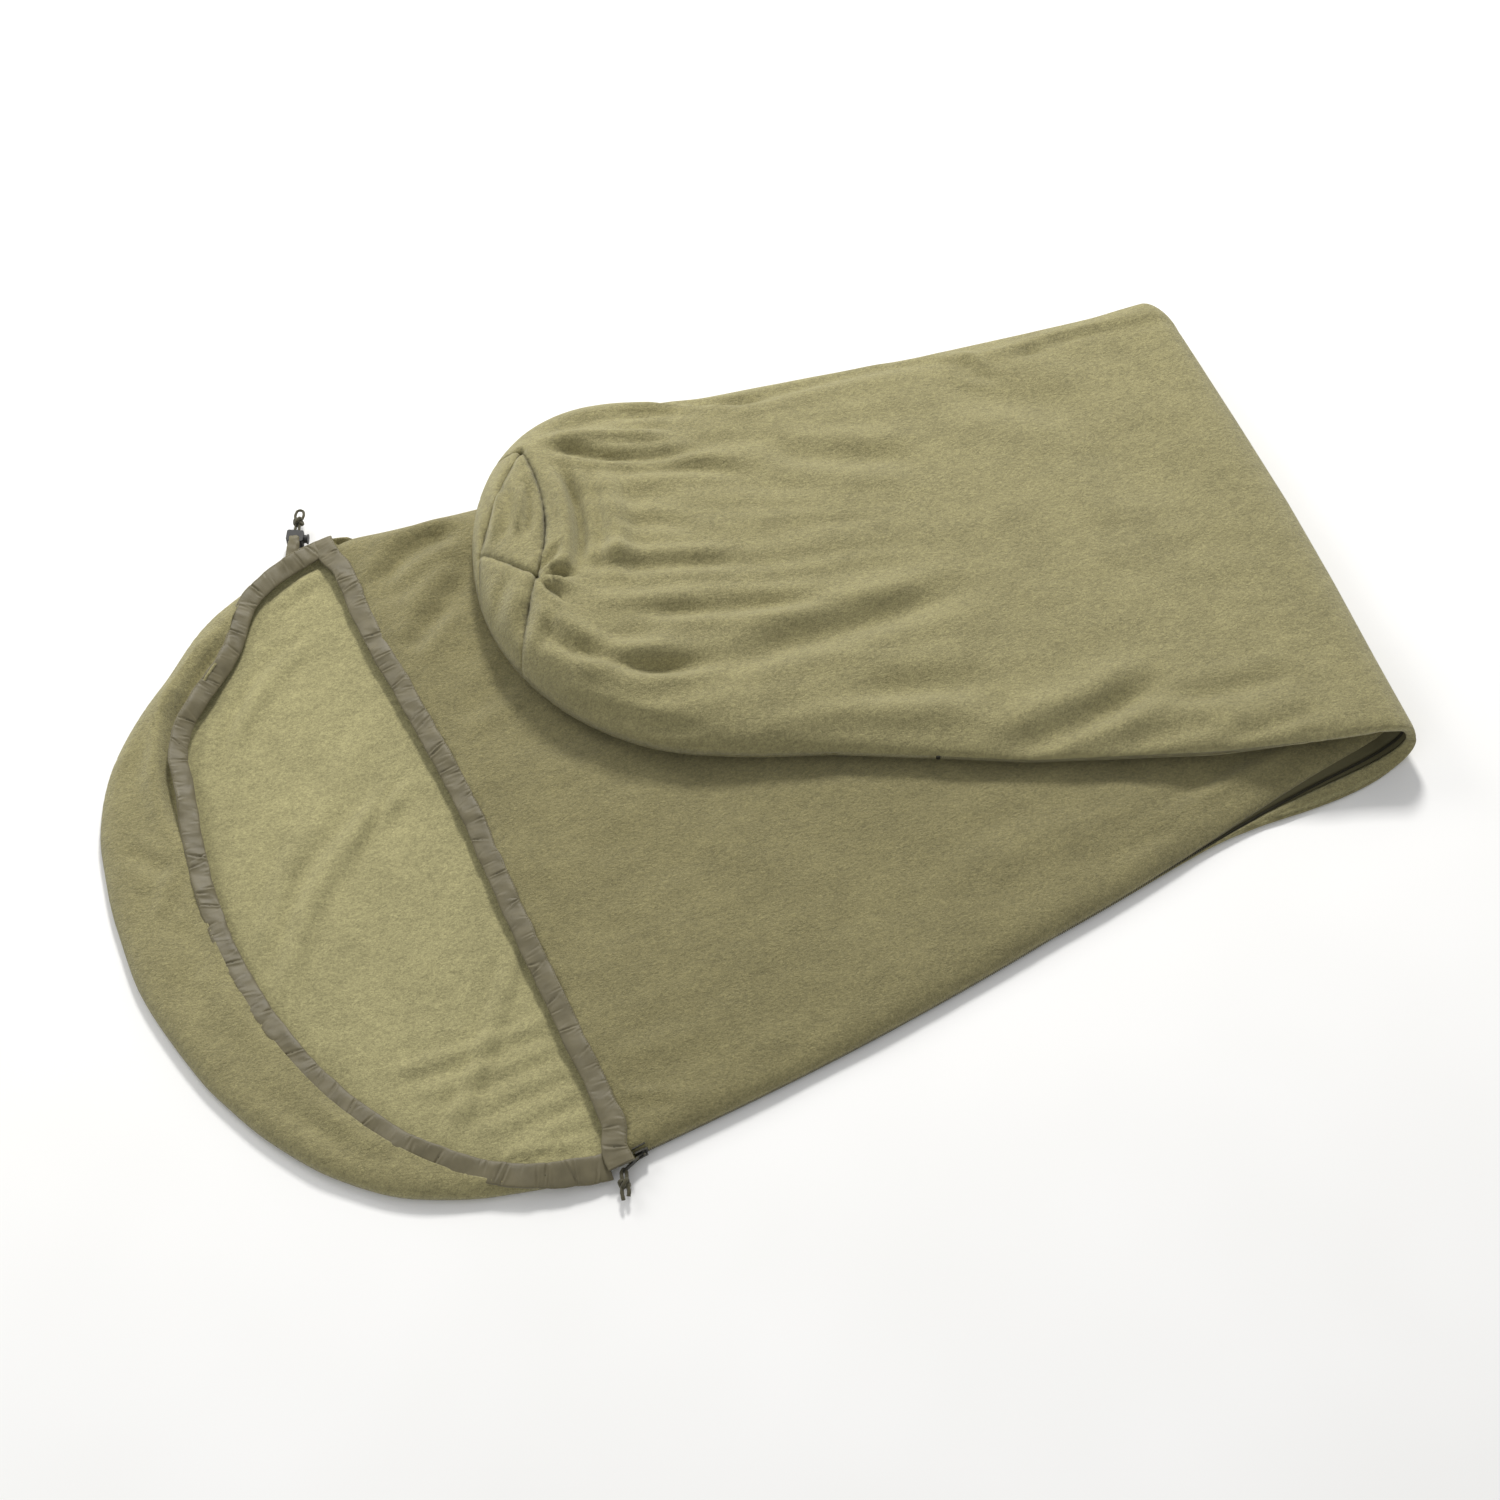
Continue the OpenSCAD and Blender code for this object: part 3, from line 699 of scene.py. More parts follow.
# ---------------------------------------------------------------- materials
class Nodes:
    """Short calls for building one material's node tree."""

    def __init__(self, name):
        self.material = bpy.data.materials.new(name)
        self.material.use_nodes = True
        self.tree = self.material.node_tree
        self.shader = self.tree.nodes["Principled BSDF"]
        self.where = self.tree.nodes.new("ShaderNodeTexCoord").outputs["Object"]

    def link(self, a, b):
        self.tree.links.new(a, b)

    def put(self, socket, value):
        """Sets a socket to a plain value, or links another socket to it."""
        if isinstance(value, (int, float, tuple)):
            socket.default_value = value
        else:
            self.link(value, socket)

    def add(self, kind, output, **values):
        """Adds a node with its inputs set, and gives back one of its outputs."""
        n = self.tree.nodes.new("ShaderNode" + kind)
        for name, value in values.items():
            self.put(n.inputs[name], value)
        return n.outputs[output]

    def noise(self, scale, detail=2.0, rough=0.5, vector=None, distort=0.0):
        return self.add("TexNoise", "Fac", Vector=vector or self.where, Scale=scale, Detail=detail,
                        Roughness=rough, Distortion=distort)

    def stretch(self, scale, turn=0.0):
        return self.add("Mapping", "Vector", Vector=self.where, Scale=scale, Rotation=(0, 0, turn))

    def wave(self, scale, turn, distort=0.0):
        across = self.stretch((1, 1, 1), turn)
        return self.add("TexWave", "Fac", Vector=across, Scale=scale, Distortion=distort)

    def tones(self, value, colour, *stops):
        """Lighter and darker tones of a colour, each at a place from 0 to 1."""
        return self.ramp(value, [(at, shade(colour, k)) for at, k in stops])

    def ramp(self, value, stops):
        n = self.tree.nodes.new("ShaderNodeValToRGB")
        n.color_ramp.elements[0].position = stops[0][0]
        n.color_ramp.elements[0].color = stops[0][1]
        n.color_ramp.elements[1].position = stops[-1][0]
        n.color_ramp.elements[1].color = stops[-1][1]
        for at, colour in stops[1:-1]:
            e = n.color_ramp.elements.new(at)
            e.color = colour
        self.link(value, n.inputs["Fac"])
        return n.outputs["Color"]

    def maths(self, kind, *values):
        n = self.tree.nodes.new("ShaderNodeMath")
        n.operation = kind
        for socket, value in zip(n.inputs, values):
            self.put(socket, value)
        return n.outputs[0]

    def mix(self, share, a, b, kind="MIX"):
        n = self.tree.nodes.new("ShaderNodeMix")
        n.data_type = "RGBA"
        n.blend_type = kind
        for slot, v in (("Factor", share), ("A", a), ("B", b)):
            i = next(x for x in n.inputs if x.name == slot and (slot == "Factor" and x.type == "VALUE"
                                                                 or x.type == "RGBA"))
            self.put(i, v)
        return next(x for x in n.outputs if x.type == "RGBA")

    def bump(self, height, strength, distance):
        return self.add("Bump", "Normal", Strength=strength, Distance=distance, Height=height)

    def set(self, **values):
        for key, value in values.items():
            self.put(self.shader.inputs[key.replace("_", " ")], value)


def linear(*srgb):
    out = []
    for v in srgb:
        v /= 255
        out.append(v / 12.92 if v <= 0.04045 else ((v + 0.055) / 1.055) ** 2.4)
    return (*out, 1.0)


def shade(colour, k):
    return tuple(min(1.0, c * k) for c in colour[:3]) + (1.0,)


def fleece(name, colour, nap=1.0):
    """Brushed fleece: a mottled nap with lighter clumps of fibre, soft sheen and no gloss."""
    n = Nodes(name)
    nap_at = n.stretch((1.0, 1.6, 1.0), 0.5)
    clumps = n.noise(230, 3.0, 0.66, nap_at, 0.5)
    fibres = n.noise(560, 4.0, 0.75, nap_at, 0.8)
    patches = n.noise(16, 3.0, 0.55)
    broad = n.noise(4.5, 2.0, 0.5)
    tone = n.tones(clumps, colour, (0.36, 0.54), (0.5, 1.0), (0.64, 1.50))
    worn = n.tones(patches, colour, (0.34, 0.70), (0.66, 1.28))
    strokes = n.noise(46, 3.0, 0.6, n.stretch((1.0, 2.2, 1.0), 1.1), 0.8)
    brushed = n.tones(strokes, colour, (0.36, 0.74), (0.64, 1.26))
    tint = n.tones(broad, colour, (0.3, 0.93), (0.7, 1.06))
    c = n.mix(0.38, tone, worn)
    c = n.mix(0.34, c, brushed)
    c = n.mix(0.2, c, tint)
    speck = n.ramp(fibres, ((0.38, (0.58, 0.58, 0.56, 1)), (0.62, (1.40, 1.40, 1.36, 1))))
    c = n.mix(0.55, c, speck, "MULTIPLY")
    height = n.maths("ADD", n.maths("MULTIPLY", clumps, 0.7), n.maths("MULTIPLY", fibres, 0.5))
    n.set(Base_Color=c, Roughness=0.97, Specular_IOR_Level=0.12, Sheen_Weight=0.35 * nap,
          Sheen_Roughness=0.55, Sheen_Tint=(0.9, 0.88, 0.74, 1), Normal=n.bump(height, 0.8 * nap, 0.0028))
    return n.material


def nylon(name, colour):
    """Thin woven nylon: a fine plain weave, slight shine, and small random lighter and darker tones painted
    as the shade of the shirring's gathers.
    """
    n = Nodes(name)
    weave = n.maths("MULTIPLY", *(n.wave(420, turn + 0.4, 0.6) for turn in (0.0, math.pi / 2)))
    soft = n.noise(70, 2.0, 0.5)
    # painted shade: random lighter and darker tones stand in for the shade in the hem's gathers
    c = n.tones(soft, colour, (0.3, 0.84), (0.7, 1.14))
    c = n.mix(0.3, c, n.tones(weave, colour, (0.0, 0.8), (1.0, 1.2)))
    n.set(Base_Color=c, Roughness=n.maths("MULTIPLY_ADD", soft, 0.16, 0.40), Specular_IOR_Level=0.42,
          Sheen_Weight=0.12, Normal=n.bump(weave, 0.22, 0.0004))
    return n.material


def braid(name, colour):
    """Braided cord: small long cells, with a painted highlight in the middle of each strand and painted
    shade between the strands.
    """
    n = Nodes(name)
    strands = n.add("TexVoronoi", "Distance", Vector=n.stretch((1, 1.8, 1)), Scale=900, Randomness=0.35)
    fuzz = n.noise(1500, 2.0)
    # painted highlight on each strand's middle, painted shade in the gaps between strands
    c = n.tones(strands, colour, (0.1, 1.25), (0.75, 0.55))
    n.set(Base_Color=c, Roughness=0.78, Specular_IOR_Level=0.25, Sheen_Weight=0.2,
          Normal=n.bump(n.maths("ADD", strands, n.maths("MULTIPLY", fuzz, 0.3)), 0.6, 0.0005))
    return n.material


def tape_cloth(name, colour):
    """Woven tape or thread: fine slanting ribs."""
    n = Nodes(name)
    ribs = n.wave(330, 0.785)
    c = n.tones(ribs, colour, (0.0, 0.75), (1.0, 1.2))
    n.set(Base_Color=c, Roughness=0.72, Specular_IOR_Level=0.25, Normal=n.bump(ribs, 0.35, 0.0003))
    return n.material


def plastic(name, colour, rough=0.42, grain=0.15):
    """Moulded plastic with a faint spark-eroded grain."""
    n = Nodes(name)
    g = n.noise(1800, 2.0)
    marks = n.noise(240, 3.0)
    c = n.tones(marks, colour, (0.3, 0.9), (0.7, 1.15))
    n.set(Base_Color=c, Roughness=n.maths("MULTIPLY_ADD", marks, 0.2, rough),
          Normal=n.bump(g, grain, 0.0002))
    return n.material


def painted_metal(name, colour, metallic=0.85, rough=0.38):
    """Die-cast zip hardware: coated, with rubbed edges and small scratches."""
    n = Nodes(name)
    scratches = n.noise(900, 3.0, 0.6, n.stretch((1, 9, 1), 0.7))
    wear = n.noise(420, 2.0)
    c = n.tones(wear, colour, (0.45, 1.0), (0.7, 1.9))
    n.set(Base_Color=c, Metallic=metallic, Roughness=n.maths("MULTIPLY_ADD", scratches, 0.3, rough - 0.1),
          Normal=n.bump(scratches, 0.12, 0.0002))
    return n.material


# One fleece in four tints. The front's darker tint is painted shade, and the foot's and hood's lighter tints
# are painted light, for how the light falls on the nap; the inside's paler tint is partly its own unbrushed
# face and partly painted light.
FLEECE_FRONT = fleece("fleece_front", linear(132, 125, 88))
FLEECE_FOOT = fleece("fleece_foot", linear(148, 141, 102))
FLEECE_INSIDE = fleece("fleece_inside", linear(155, 149, 110), 0.6)
FLEECE_HOOD = fleece("fleece_hood", linear(145, 138, 99))
NYLON = nylon("nylon_hem", linear(104, 97, 72))
CORD = braid("drawcord_braid", linear(86, 82, 62))
TAPE = tape_cloth("zip_tape_cloth", linear(92, 88, 62))
COIL = plastic("zip_coil_nylon", linear(52, 50, 38), 0.5)
METAL = painted_metal("zip_metal_paint", linear(58, 57, 52))
LOCK = plastic("cord_lock_plastic", linear(26, 26, 24))
STEEL = painted_metal("spring_steel_wire", linear(150, 150, 148), 1.0, 0.32)
THREAD = tape_cloth("seam_thread", linear(110, 104, 74))


# ---------------------------------------------------------------- sheets of the sack
STEP = 7 * MM * 1.0
RINGS = np.array((1.2, 3, 5.4, 8.4, 12, 16.5, 22, 28, 35, 43, 52)) * MM
CLOTH = 3 * MM
NEAR_FOLD = 70 * MM


def head_seam_z(x):
    """Height of the head half's edge: low where the front sheet rolls over it, higher near the fold."""
    return (6 + 5 * smooth((x / MM - 640) / 240)) * MM


# The zip side near the fold. The zip is drawn in from the straight edge there, the front sheet's edge lies
# farther in still, and the back sheet bellies out below the zip. Places are in mm along the sack: 0 where
# the two halves meet round the fold, and negative on the head half.
DRAW_REACH = 110 * MM
BELLY_WIDTH = 36 * MM


def drawn_in(at):
    """How far the zip draws the edge in, in mm."""
    return 12 * bump(at, -200, 173) + 7 * bump(at, -5, 45)


def front_gap(at):
    """How far the front sheet's edge lies inside the zip, in mm."""
    return 22 * bump(at, -15, 190, 96)


def belly_out(at):
    """How far the back sheet swells past the zip, in mm."""
    return 44 * bump(at, -100, 150, 142)


def along_path(plan, half):
    """Where a point of the plan is along the sack, in mm: 0 at the fold, negative on the head half."""
    beyond = dot(plan, BEYOND)
    return (beyond - QUARTER) / MM if half == "head" else (QUARTER - beyond) / MM


def from_zip_side(plan, half):
    """How far inside the straight zip-side edge a point of the plan is."""
    if half == "head":
        return plan[:, 1] + HALF_W - (plan[:, 0] - TAPER_X) * TAPER
    rel = plan - FOOT_AT[:2]
    return foot_half_width(rel @ P_AXIS[:2]) - rel @ Q_AXIS[:2]


def draw_in(plan, half, share_of_gap, belly=0.0):
    """Moves a plan near the zip side: in as the zip pulls it, and out where the back sheet bellies."""
    at = along_path(plan, half)
    amount = drawn_in(at) + share_of_gap * front_gap(at)
    depth = from_zip_side(plan, half)
    move = amount * (1 - smooth(depth / DRAW_REACH))
    wave = np.sin(math.pi * np.clip(depth / BELLY_WIDTH, 0, 1)) ** 0.8
    move = move - belly * belly_out(at) * wave * 0.72
    return plan + np.outer(move * MM, ALONG[:2])


def toward_fold(plan):
    """0 away from the fold, 1 on the line where the two halves meet round it."""
    return smooth((dot(plan, BEYOND) + NEAR_FOLD) / (NEAR_FOLD + QUARTER))


def fold_line(edge_at, n=70):
    t = np.linspace(0, 1, n)[1:-1, None]
    return edge_at(QUARTER, -1) * (1 - t) + edge_at(QUARTER, 1) * t


PAST_FOLD = 60 * MM
HEAD_FREE = head_outline(QUARTER + PAST_FOLD)
FOOT_FREE = foot_outline(QUARTER + PAST_FOLD)
BACK_TURN = (15 * MM, 24 * MM, 32 * MM)      # width of the back sheet's turned edge: head, fold, foot
FRONT_TURN = (27 * MM, 22 * MM, 22 * MM)


def finish_sheet(name, plan, faces, position, outer_up, material, where, nodes, inner=None):
    o = mesh_object(name, position, orient(plan, faces, outer_up), material)
    thicken(o, CLOTH, inner)
    return hand_over(o, where, "fleece", *nodes)


BACK_SPAN = (-0.15, 0.6)
FRONT_SPAN = (-0.3, 0.25)


def settle(o, where):
    """Rides on one body if where is a body's name; if where is a half's name and a span, its place is only
    baked into its mesh, and the span is not used.
    """
    if isinstance(where, str):
        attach(o, where)
        return
    half, span = where
    if half == "head":
        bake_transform(o)
    else:
        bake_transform(o)


def hand_over(o, where, slot, *nodes):
    """Puts a finished piece on its body and hides the CAD nodes it stands in for; the slot argument is not
    used.
    """
    settle(o, where)
    if nodes:
        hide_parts(*nodes)
    return o


def head_back_height(plan):
    d = edge_distance(plan, HEAD_FREE)
    t = toward_fold(plan)
    w = BACK_TURN[0] * (1 - t) + BACK_TURN[1] * t
    flat = back_rise(plan) * (1 - t)
    seam = head_seam_z(plan[:, 0])
    return seam + (flat - seam) * round_edge(d, w)


def head_front_height(plan):
    d = edge_distance(plan, HEAD_FREE)
    t = toward_fold(plan)
    w = FRONT_TURN[0] * (1 - t) + FRONT_TURN[1] * t
    top = head_top(plan) * (1 - t) + HEAD_H * t
    e = np.abs(to_line(plan, CHEST_HEM)[0])
    top -= 5.5 * MM * bell(e, 16 * MM)
    seam = head_seam_z(plan[:, 0])
    return seam + (top - seam) * round_edge(d, w)


def build_head_back():
    outline = np.vstack([head_outline(QUARTER), fold_line(head_edge)])
    plan, faces = triangulate(outline, STEP, RINGS[:8])
    height = head_back_height(plan)
    position = round_fold(draw_in(plan, "head", 0, 1), height, head_edge, False)
    return finish_sheet("back_panel_head_cloth", plan, faces, position, False, FLEECE_HOOD,
                        ("head", BACK_SPAN), ("back_panel_head", "back_panel_fold"), FLEECE_INSIDE)


def build_head_front():
    far_side = head_side(1, TAPER_X, QUARTER)[::-1]
    near_side = head_side(-1, TAPER_X, QUARTER)
    far_side = far_side[far_side[:, 0] > -8 * MM]
    near_side = near_side[near_side[:, 0] > 20 * MM]
    outline = np.vstack([far_side, beside(CHEST_HEM, 7 * MM), near_side, fold_line(head_edge)])
    plan, faces = triangulate(outline, STEP, RINGS)
    position = round_fold(draw_in(plan, "head", 1), head_front_height(plan), head_edge, False)
    return finish_sheet("front_panel_head_cloth", plan, faces, position, True, FLEECE_FRONT,
                        ("head", FRONT_SPAN), ("front_panel_head", "front_panel_fold"))


def beside(line, distance):
    """A copy of a line, moved to the left of its direction."""
    return line + left_of(line) * distance


def hood_top(plan):
    """Height of the hood panel's upper face: it lies over the crown and lifts a little at its hem."""
    x, y = plan[:, 0] / MM, plan[:, 1] / MM
    e, s = to_line(plan, HOOD_HEM)
    e = np.abs(e)
    z = 21 * MM + 1.1 * MM * layers(x / 80, y / 80, 61, 2)
    lift = np.interp(s, (0, 0.12, 0.24, 0.32, 0.42, 0.6, 0.8, 1), (0, 0, 7, 9, 0, -1, 0, -5)) * MM
    z += lift * bell(e, 34 * MM)
    z += 1.3 * MM * noise2(s * 62, e / (60 * MM), 63) * np.exp(-e / (20 * MM))
    z += soft_folds(plan, (
        # the hem has rolled over near the far shoulder and pulls the cloth along the hood's edge
        ((-60, 376), 206, 108, 14, 8, -3), ((-120, 330), 204, 305, 72, 9, -13),
        ((-130, 318), 216, 262, 56, 9, 6), ((-206, 300), 214, 158, 18, 12, 5),
        # low waves round the crown
        ((-330, 120), -52, 74, 0, 9, -3), ((-282, 84), 234, 72, 10, 8, 3),
        ((-300, 20), -84, 80, -14, 12, -3), ((-282, -60), -90, 100, 12, 9, 2.4),
        ((-320, -20), -88, 132, 10, 14, -2.2), ((-254, -210), -62, 120, 8, 9, 2.6),
        ((-290, -180), -64, 136, 10, 12, -2.4), ((-150, -352), -30, 98, 16, 6, 2)))
    return z


def build_hood():
    far_side = head_side(1, -34 * MM, QUARTER)[:1]
    near_side = head_side(-1, 6 * MM, QUARTER)[:1]
    edge = beside(HOOD_HEM, -7 * MM)
    edge = edge[inside(edge, HEAD_FREE) & (edge_distance(edge, HEAD_FREE) > 1.5 * MM)]
    outline = np.vstack([far_side, hood_arc(94)[1:-1], near_side + (0, 1 * MM), edge[::-1]])
    plan, faces = triangulate(outline, STEP * 0.8, RINGS[:8])
    d = edge_distance(plan, HEAD_FREE)
    seam = head_seam_z(plan[:, 0])
    z = seam + (hood_top(plan) - seam) * round_edge(d, 25 * MM)
    position = np.column_stack([plan, z])
    return finish_sheet("hood_panel_cloth", plan, faces, position, True, FLEECE_HOOD, "head_half",
                        ("hood_panel",))


def bottom_of_foot(pq, t):
    p = pq[:, 0] / MM
    sink = np.interp(p, (-60, 0, 40, 110, 900), (42, 42, 36, 24.6, 24.6)) * MM
    x, y = p / 70, pq[:, 1] / (70 * MM)
    return (sink + np.maximum(0, 1.2 * MM * layers(x, y, 71, 2)) * (1 - t))


def foot_heights(pq, plan):
    d = edge_distance(pq, FOOT_FREE)
    t = toward_fold(plan)
    seam = foot_seam_z(pq) * (1 - t) + (2 * FOLD_R - SEAM_Z) * t
    top = foot_top(pq) * (1 - t) + 2 * FOLD_R * t
    w = foot_round(pq) * (1 - t) + BACK_TURN[1] * t
    z_top = seam + (top - seam) * round_edge(d, w)
    low = bottom_of_foot(pq, t) * (1 - t) + (2 * FOLD_R - HEAD_H) * t
    w = FRONT_TURN[2]
    z_low = seam + (low - seam) * round_edge(d, w)
    return z_top, z_low


def foot_sheet_outline():
    line = fold_line(foot_edge)
    frame_to_pq = np.column_stack([(line - FOOT_AT[:2]) @ P_AXIS[:2], (line - FOOT_AT[:2]) @ Q_AXIS[:2]])
    return np.vstack([foot_outline(QUARTER), frame_to_pq[::-1]])


def build_foot_top():
    """The back panel's foot half and the foot box's three pieces, cut from one surface along their seams."""
    seams = (TOP_SEAM, ARC_SEAM, OUTER_SEAM, SHORT_SEAM, NEAR_SEAM, FAR_SEAM)
    pq, faces = triangulate(foot_sheet_outline(), STEP * 0.78, RINGS, seams)
    plan = foot_plan_to_frame(pq)
    z_top, _ = foot_heights(pq, plan)
    position = round_fold(draw_in(plan, "foot", 0, 1), 2 * FOLD_R - z_top, foot_edge, True)
    faces = np.array(orient(plan, faces, True))
    centre = pq[faces].mean(1)
    outside = np.array(((1000, 200), (1000, -260))) * MM
    is_lens = inside(centre, np.vstack([TOP_SEAM, SHORT_SEAM, ARC_SEAM[::-1]]))
    is_near = inside(centre, np.vstack([SHORT_SEAM, OUTER_SEAM, NEAR_SEAM[::-1]]))
    is_end = inside(centre, np.vstack([FAR_SEAM[::-1], ARC_SEAM, OUTER_SEAM, NEAR_SEAM[-1:], outside]))
    is_end &= ~is_lens & ~is_near
    groups = (
        ("back_panel_foot_cloth", ~is_lens & ~is_near & ~is_end, ("foot", BACK_SPAN), ("back_panel_foot",)),
        ("foot_end_panel_cloth", is_lens, "foot_half", ("foot_end_panel",)),
        ("foot_gusset_zip_side_cloth", is_near, "foot_half", ("foot_gusset_zip_side",)),
        ("foot_gusset_seam_side_cloth", is_end, "foot_half", ("foot_gusset_seam_side",)))
    for name, chosen, where, nodes in groups:
        own = faces[chosen]
        used, index = np.unique(own, return_inverse=True)
        own = index.reshape(own.shape)
        o = mesh_object(name, position[used], own.tolist(), FLEECE_FOOT)
        hand_over(thicken(o, CLOTH), where, "fleece", *nodes)


def build_foot_bottom():
    pq, faces = triangulate(foot_sheet_outline(), STEP * 1.1, RINGS[:8])
    plan = foot_plan_to_frame(pq)
    _, z_low = foot_heights(pq, plan)
    position = round_fold(draw_in(plan, "foot", 1), 2 * FOLD_R - z_low, foot_edge, True)
    return finish_sheet("front_panel_foot_cloth", plan, faces, position, False, FLEECE_FRONT,
                        ("foot", FRONT_SPAN), ("front_panel_foot",))


# ---------------------------------------------------------------- hems, cords and the zip
def sweep(name, path, section, material, turning=False):
    """A tube along a path. section(i, share) gives its outline at station i as rows of (sideways, up).
    A turning path may point straight up; its section keeps from twisting instead of staying level."""
    path = np.array(path, float)
    n = len(path)
    tangent = directions(path)
    side = np.cross(tangent, UP)
    if turning:
        first = side[0] if np.linalg.norm(side[0]) > 0.1 else np.array((1.0, 0, 0))
        side[0] = first
        for i in range(1, n):
            side[i] = side[i - 1] - (side[i - 1] @ tangent[i]) * tangent[i]
            side[i] /= np.linalg.norm(side[i])
    side /= np.linalg.norm(side, axis=1)[:, None]
    lift = np.cross(side, tangent)
    verts, faces = [], []
    for i in range(n):
        ring = section(i, i / (n - 1))
        k = len(ring)
        verts.append(path[i] + np.outer(ring[:, 0], side[i]) + np.outer(ring[:, 1], lift[i]))
    for i in range(n - 1):
        for j in range(k):
            a, b = i * k + j, i * k + (j + 1) % k
            faces.append((a, a + k, b + k, b))
    faces.append(tuple(range(k)))
    faces.append(tuple(range((n - 1) * k, n * k))[::-1])
    return mesh_object(name, np.vstack(verts), faces, material)


def along_line(line, step):
    """Points an even step apart along a line in space."""
    s = lengths(line)
    t = np.linspace(0, s[-1], max(4, int(s[-1] / step)))
    return columns(t, s, line), t


def creases(length_mm, seed):
    """Random creases across a hem: place, skew, side they start from, reach, depth and width, in mm."""
    rng = np.random.default_rng(seed)
    out = []
    at = 6.0
    while at < length_mm - 4:
        deep = rng.random() < 0.3
        skew = rng.uniform(-0.9, 0.9)
        side = rng.choice((-1, 1))
        reach = rng.uniform(*((0.5, 1.6) if deep else (0.3, 1.0)))
        depth = rng.uniform(*((1.3, 2.3) if deep else (0.3, 0.8)))
        out.append((at, skew, side, reach, depth, rng.uniform(0.8, 1.2)))
        at += rng.uniform(4.0, 13.0) * (0.6 if rng.random() < 0.4 else 1.5)
    return out


def hem(name, line, height, tilt, spread, seed, seam_corner):
    """A shirred nylon casing: a flat tube, bunched into short uneven pleats by the cord inside it."""
    path, s = along_line(line, 0.8 * MM * DETAIL)
    share = s / s[-1]
    z = height(share)
    s_mm = s / MM
    sway = (1.2 * noise2(s_mm / 46, 0.5, seed) + 0.6 * noise2(s_mm / 15, 1.5, seed)) * MM
    path = path + left_of(path) * sway[:, None]
    z = z + 0.8 * MM * noise2(s_mm / 24, 2.5, seed)
    space = np.column_stack([path, z])
    corners = 40
    a = round_angles(corners)
    pinches = creases(s_mm[-1], seed)
    half_w = HEM_W / 2 * (1 + 0.035 * noise2(s_mm / 17, 4.5, seed) + 0.010 * noise2(s_mm / 4, 5.5, seed))
    half_w *= spread(share)
    for at, _, _, _, depth, width in pinches:
        half_w *= 1 - 0.012 * depth * bell(s_mm - at, 1.6 * width)
    half_t = 2.4 * MM * (1 + 0.2 * noise2(s_mm / 18, 6.5, seed))
    lean = tilt(share) + 0.2 * noise2(s_mm / 30, 7.5, seed)
    strength = 0.7 + 0.5 * noise2(s_mm / 40, 8.5, seed)

    def section(i, _):
        u = blunt(np.cos(a), 0.62) * half_w[i]
        v = blunt(np.sin(a), 0.7) * half_t[i]
        across = u / half_w[i]
        here = s_mm[i]
        puff = noise2(here / 11.0 + 0.25 * across, across * 0.9, seed + 3) * 0.8
        fine = noise2(here / 3.4 + 0.6 * across, across * 1.7, seed + 5) * 0.16
        crown = 1 - np.abs(across) ** 4
        dent = np.zeros(len(a))
        for at, skew, start, reach, depth, width in pinches:
            if abs(here - at) > 16:
                continue
            off = here - at - skew * across * 6
            along = np.clip((across * start + 1) / 2 / reach, 0, 1)
            fade = (1 - smooth(along)) ** 0.7
            ridge = bell(off - 2.2 * width, 1.5 * width)
            dent += depth * fade * (0.55 * ridge - bell(off, width))
        top = np.sin(a) > 0
        v = v + np.where(top, 1, -0.35) * ((puff + fine) * strength[i] + dent) * crown * MM
        return np.column_stack([u * math.cos(lean[i]) - v * math.sin(lean[i]),
                                u * math.sin(lean[i]) + v * math.cos(lean[i])])

    o = sweep(f"{name}_hem_cloth", space, section, NYLON)
    hand_over(o, "head_half", "nylon_hem", f"{name}_hem")
    ring = np.array([v.co[:] for v in o.data.vertices]).reshape(-1, corners, 3)
    stitches(f"{name}_hem_stitching", ring[:, seam_corner], 3.4 * MM, 2.3 * MM)
    return space


def cord(name, points, radius, body, nodes=(), step=1.2):
    """A round braided cord through the points."""
    path = spline(points, step * MM)
    a = round_angles(12)
    s = lengths(path)

    def section(i, _):
        r = radius * (1 + 0.10 * np.cos(4 * a + s[i] / (1.5 * MM)) * np.cos(4 * a - s[i] / (1.5 * MM)))
        return np.column_stack([np.cos(a) * r, np.sin(a) * r])

    o = sweep(name, path, section, CORD, turning=True)
    return hand_over(o, body, "cord", *nodes)


def profile(places, values, scale=1.0):
    """A value that changes along a hem, by share of its length."""
    return lambda share: np.interp(share, places, values) * scale


def build_hems():
    hood_height = profile((0, 0.06, 0.16, 0.26, 0.33, 0.42, 0.6, 0.85, 0.96, 1),
                          (14, 15, 16, 22, 25, 20, 17, 18.5, 14.5, 10), MM)
    hood_tilt = profile((0, 0.2, 0.3, 0.4, 0.6, 0.8, 1), (0.2, 0.45, 0.6, 0.3, 0.08, -0.1, -0.3))
    hood_spread = profile((0, 0.03, 0.1, 0.8, 0.93, 1), (0.9, 1.0, 0.95, 1.0, 1.15, 1.3))
    hood = hem("hood", HOOD_HEM, hood_height, hood_tilt, hood_spread, 101, 4)
    chest_height = profile((0, 0.05, 0.5, 0.94, 1), (15, 17, 17.5, 18, 17), MM)
    chest_tilt = profile((0, 0.5, 1), (-0.1, -0.18, -0.12))
    chest_spread = profile((0, 0.05, 0.9, 1), (1.1, 1.0, 1.0, 1.25))
    chest = hem("chest", CHEST_HEM, chest_height, chest_tilt, chest_spread, 201, 16)
    return hood, chest


LOCK_AT = np.array([0.5 * (a + b) for a, b in zip(*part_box("cord_lock_body"))])
PULL = np.array(JOINT["drawcord_pull"]["axis"])
ACROSS = np.cross(PULL, UP)
CORD_R = 1.5 * MM


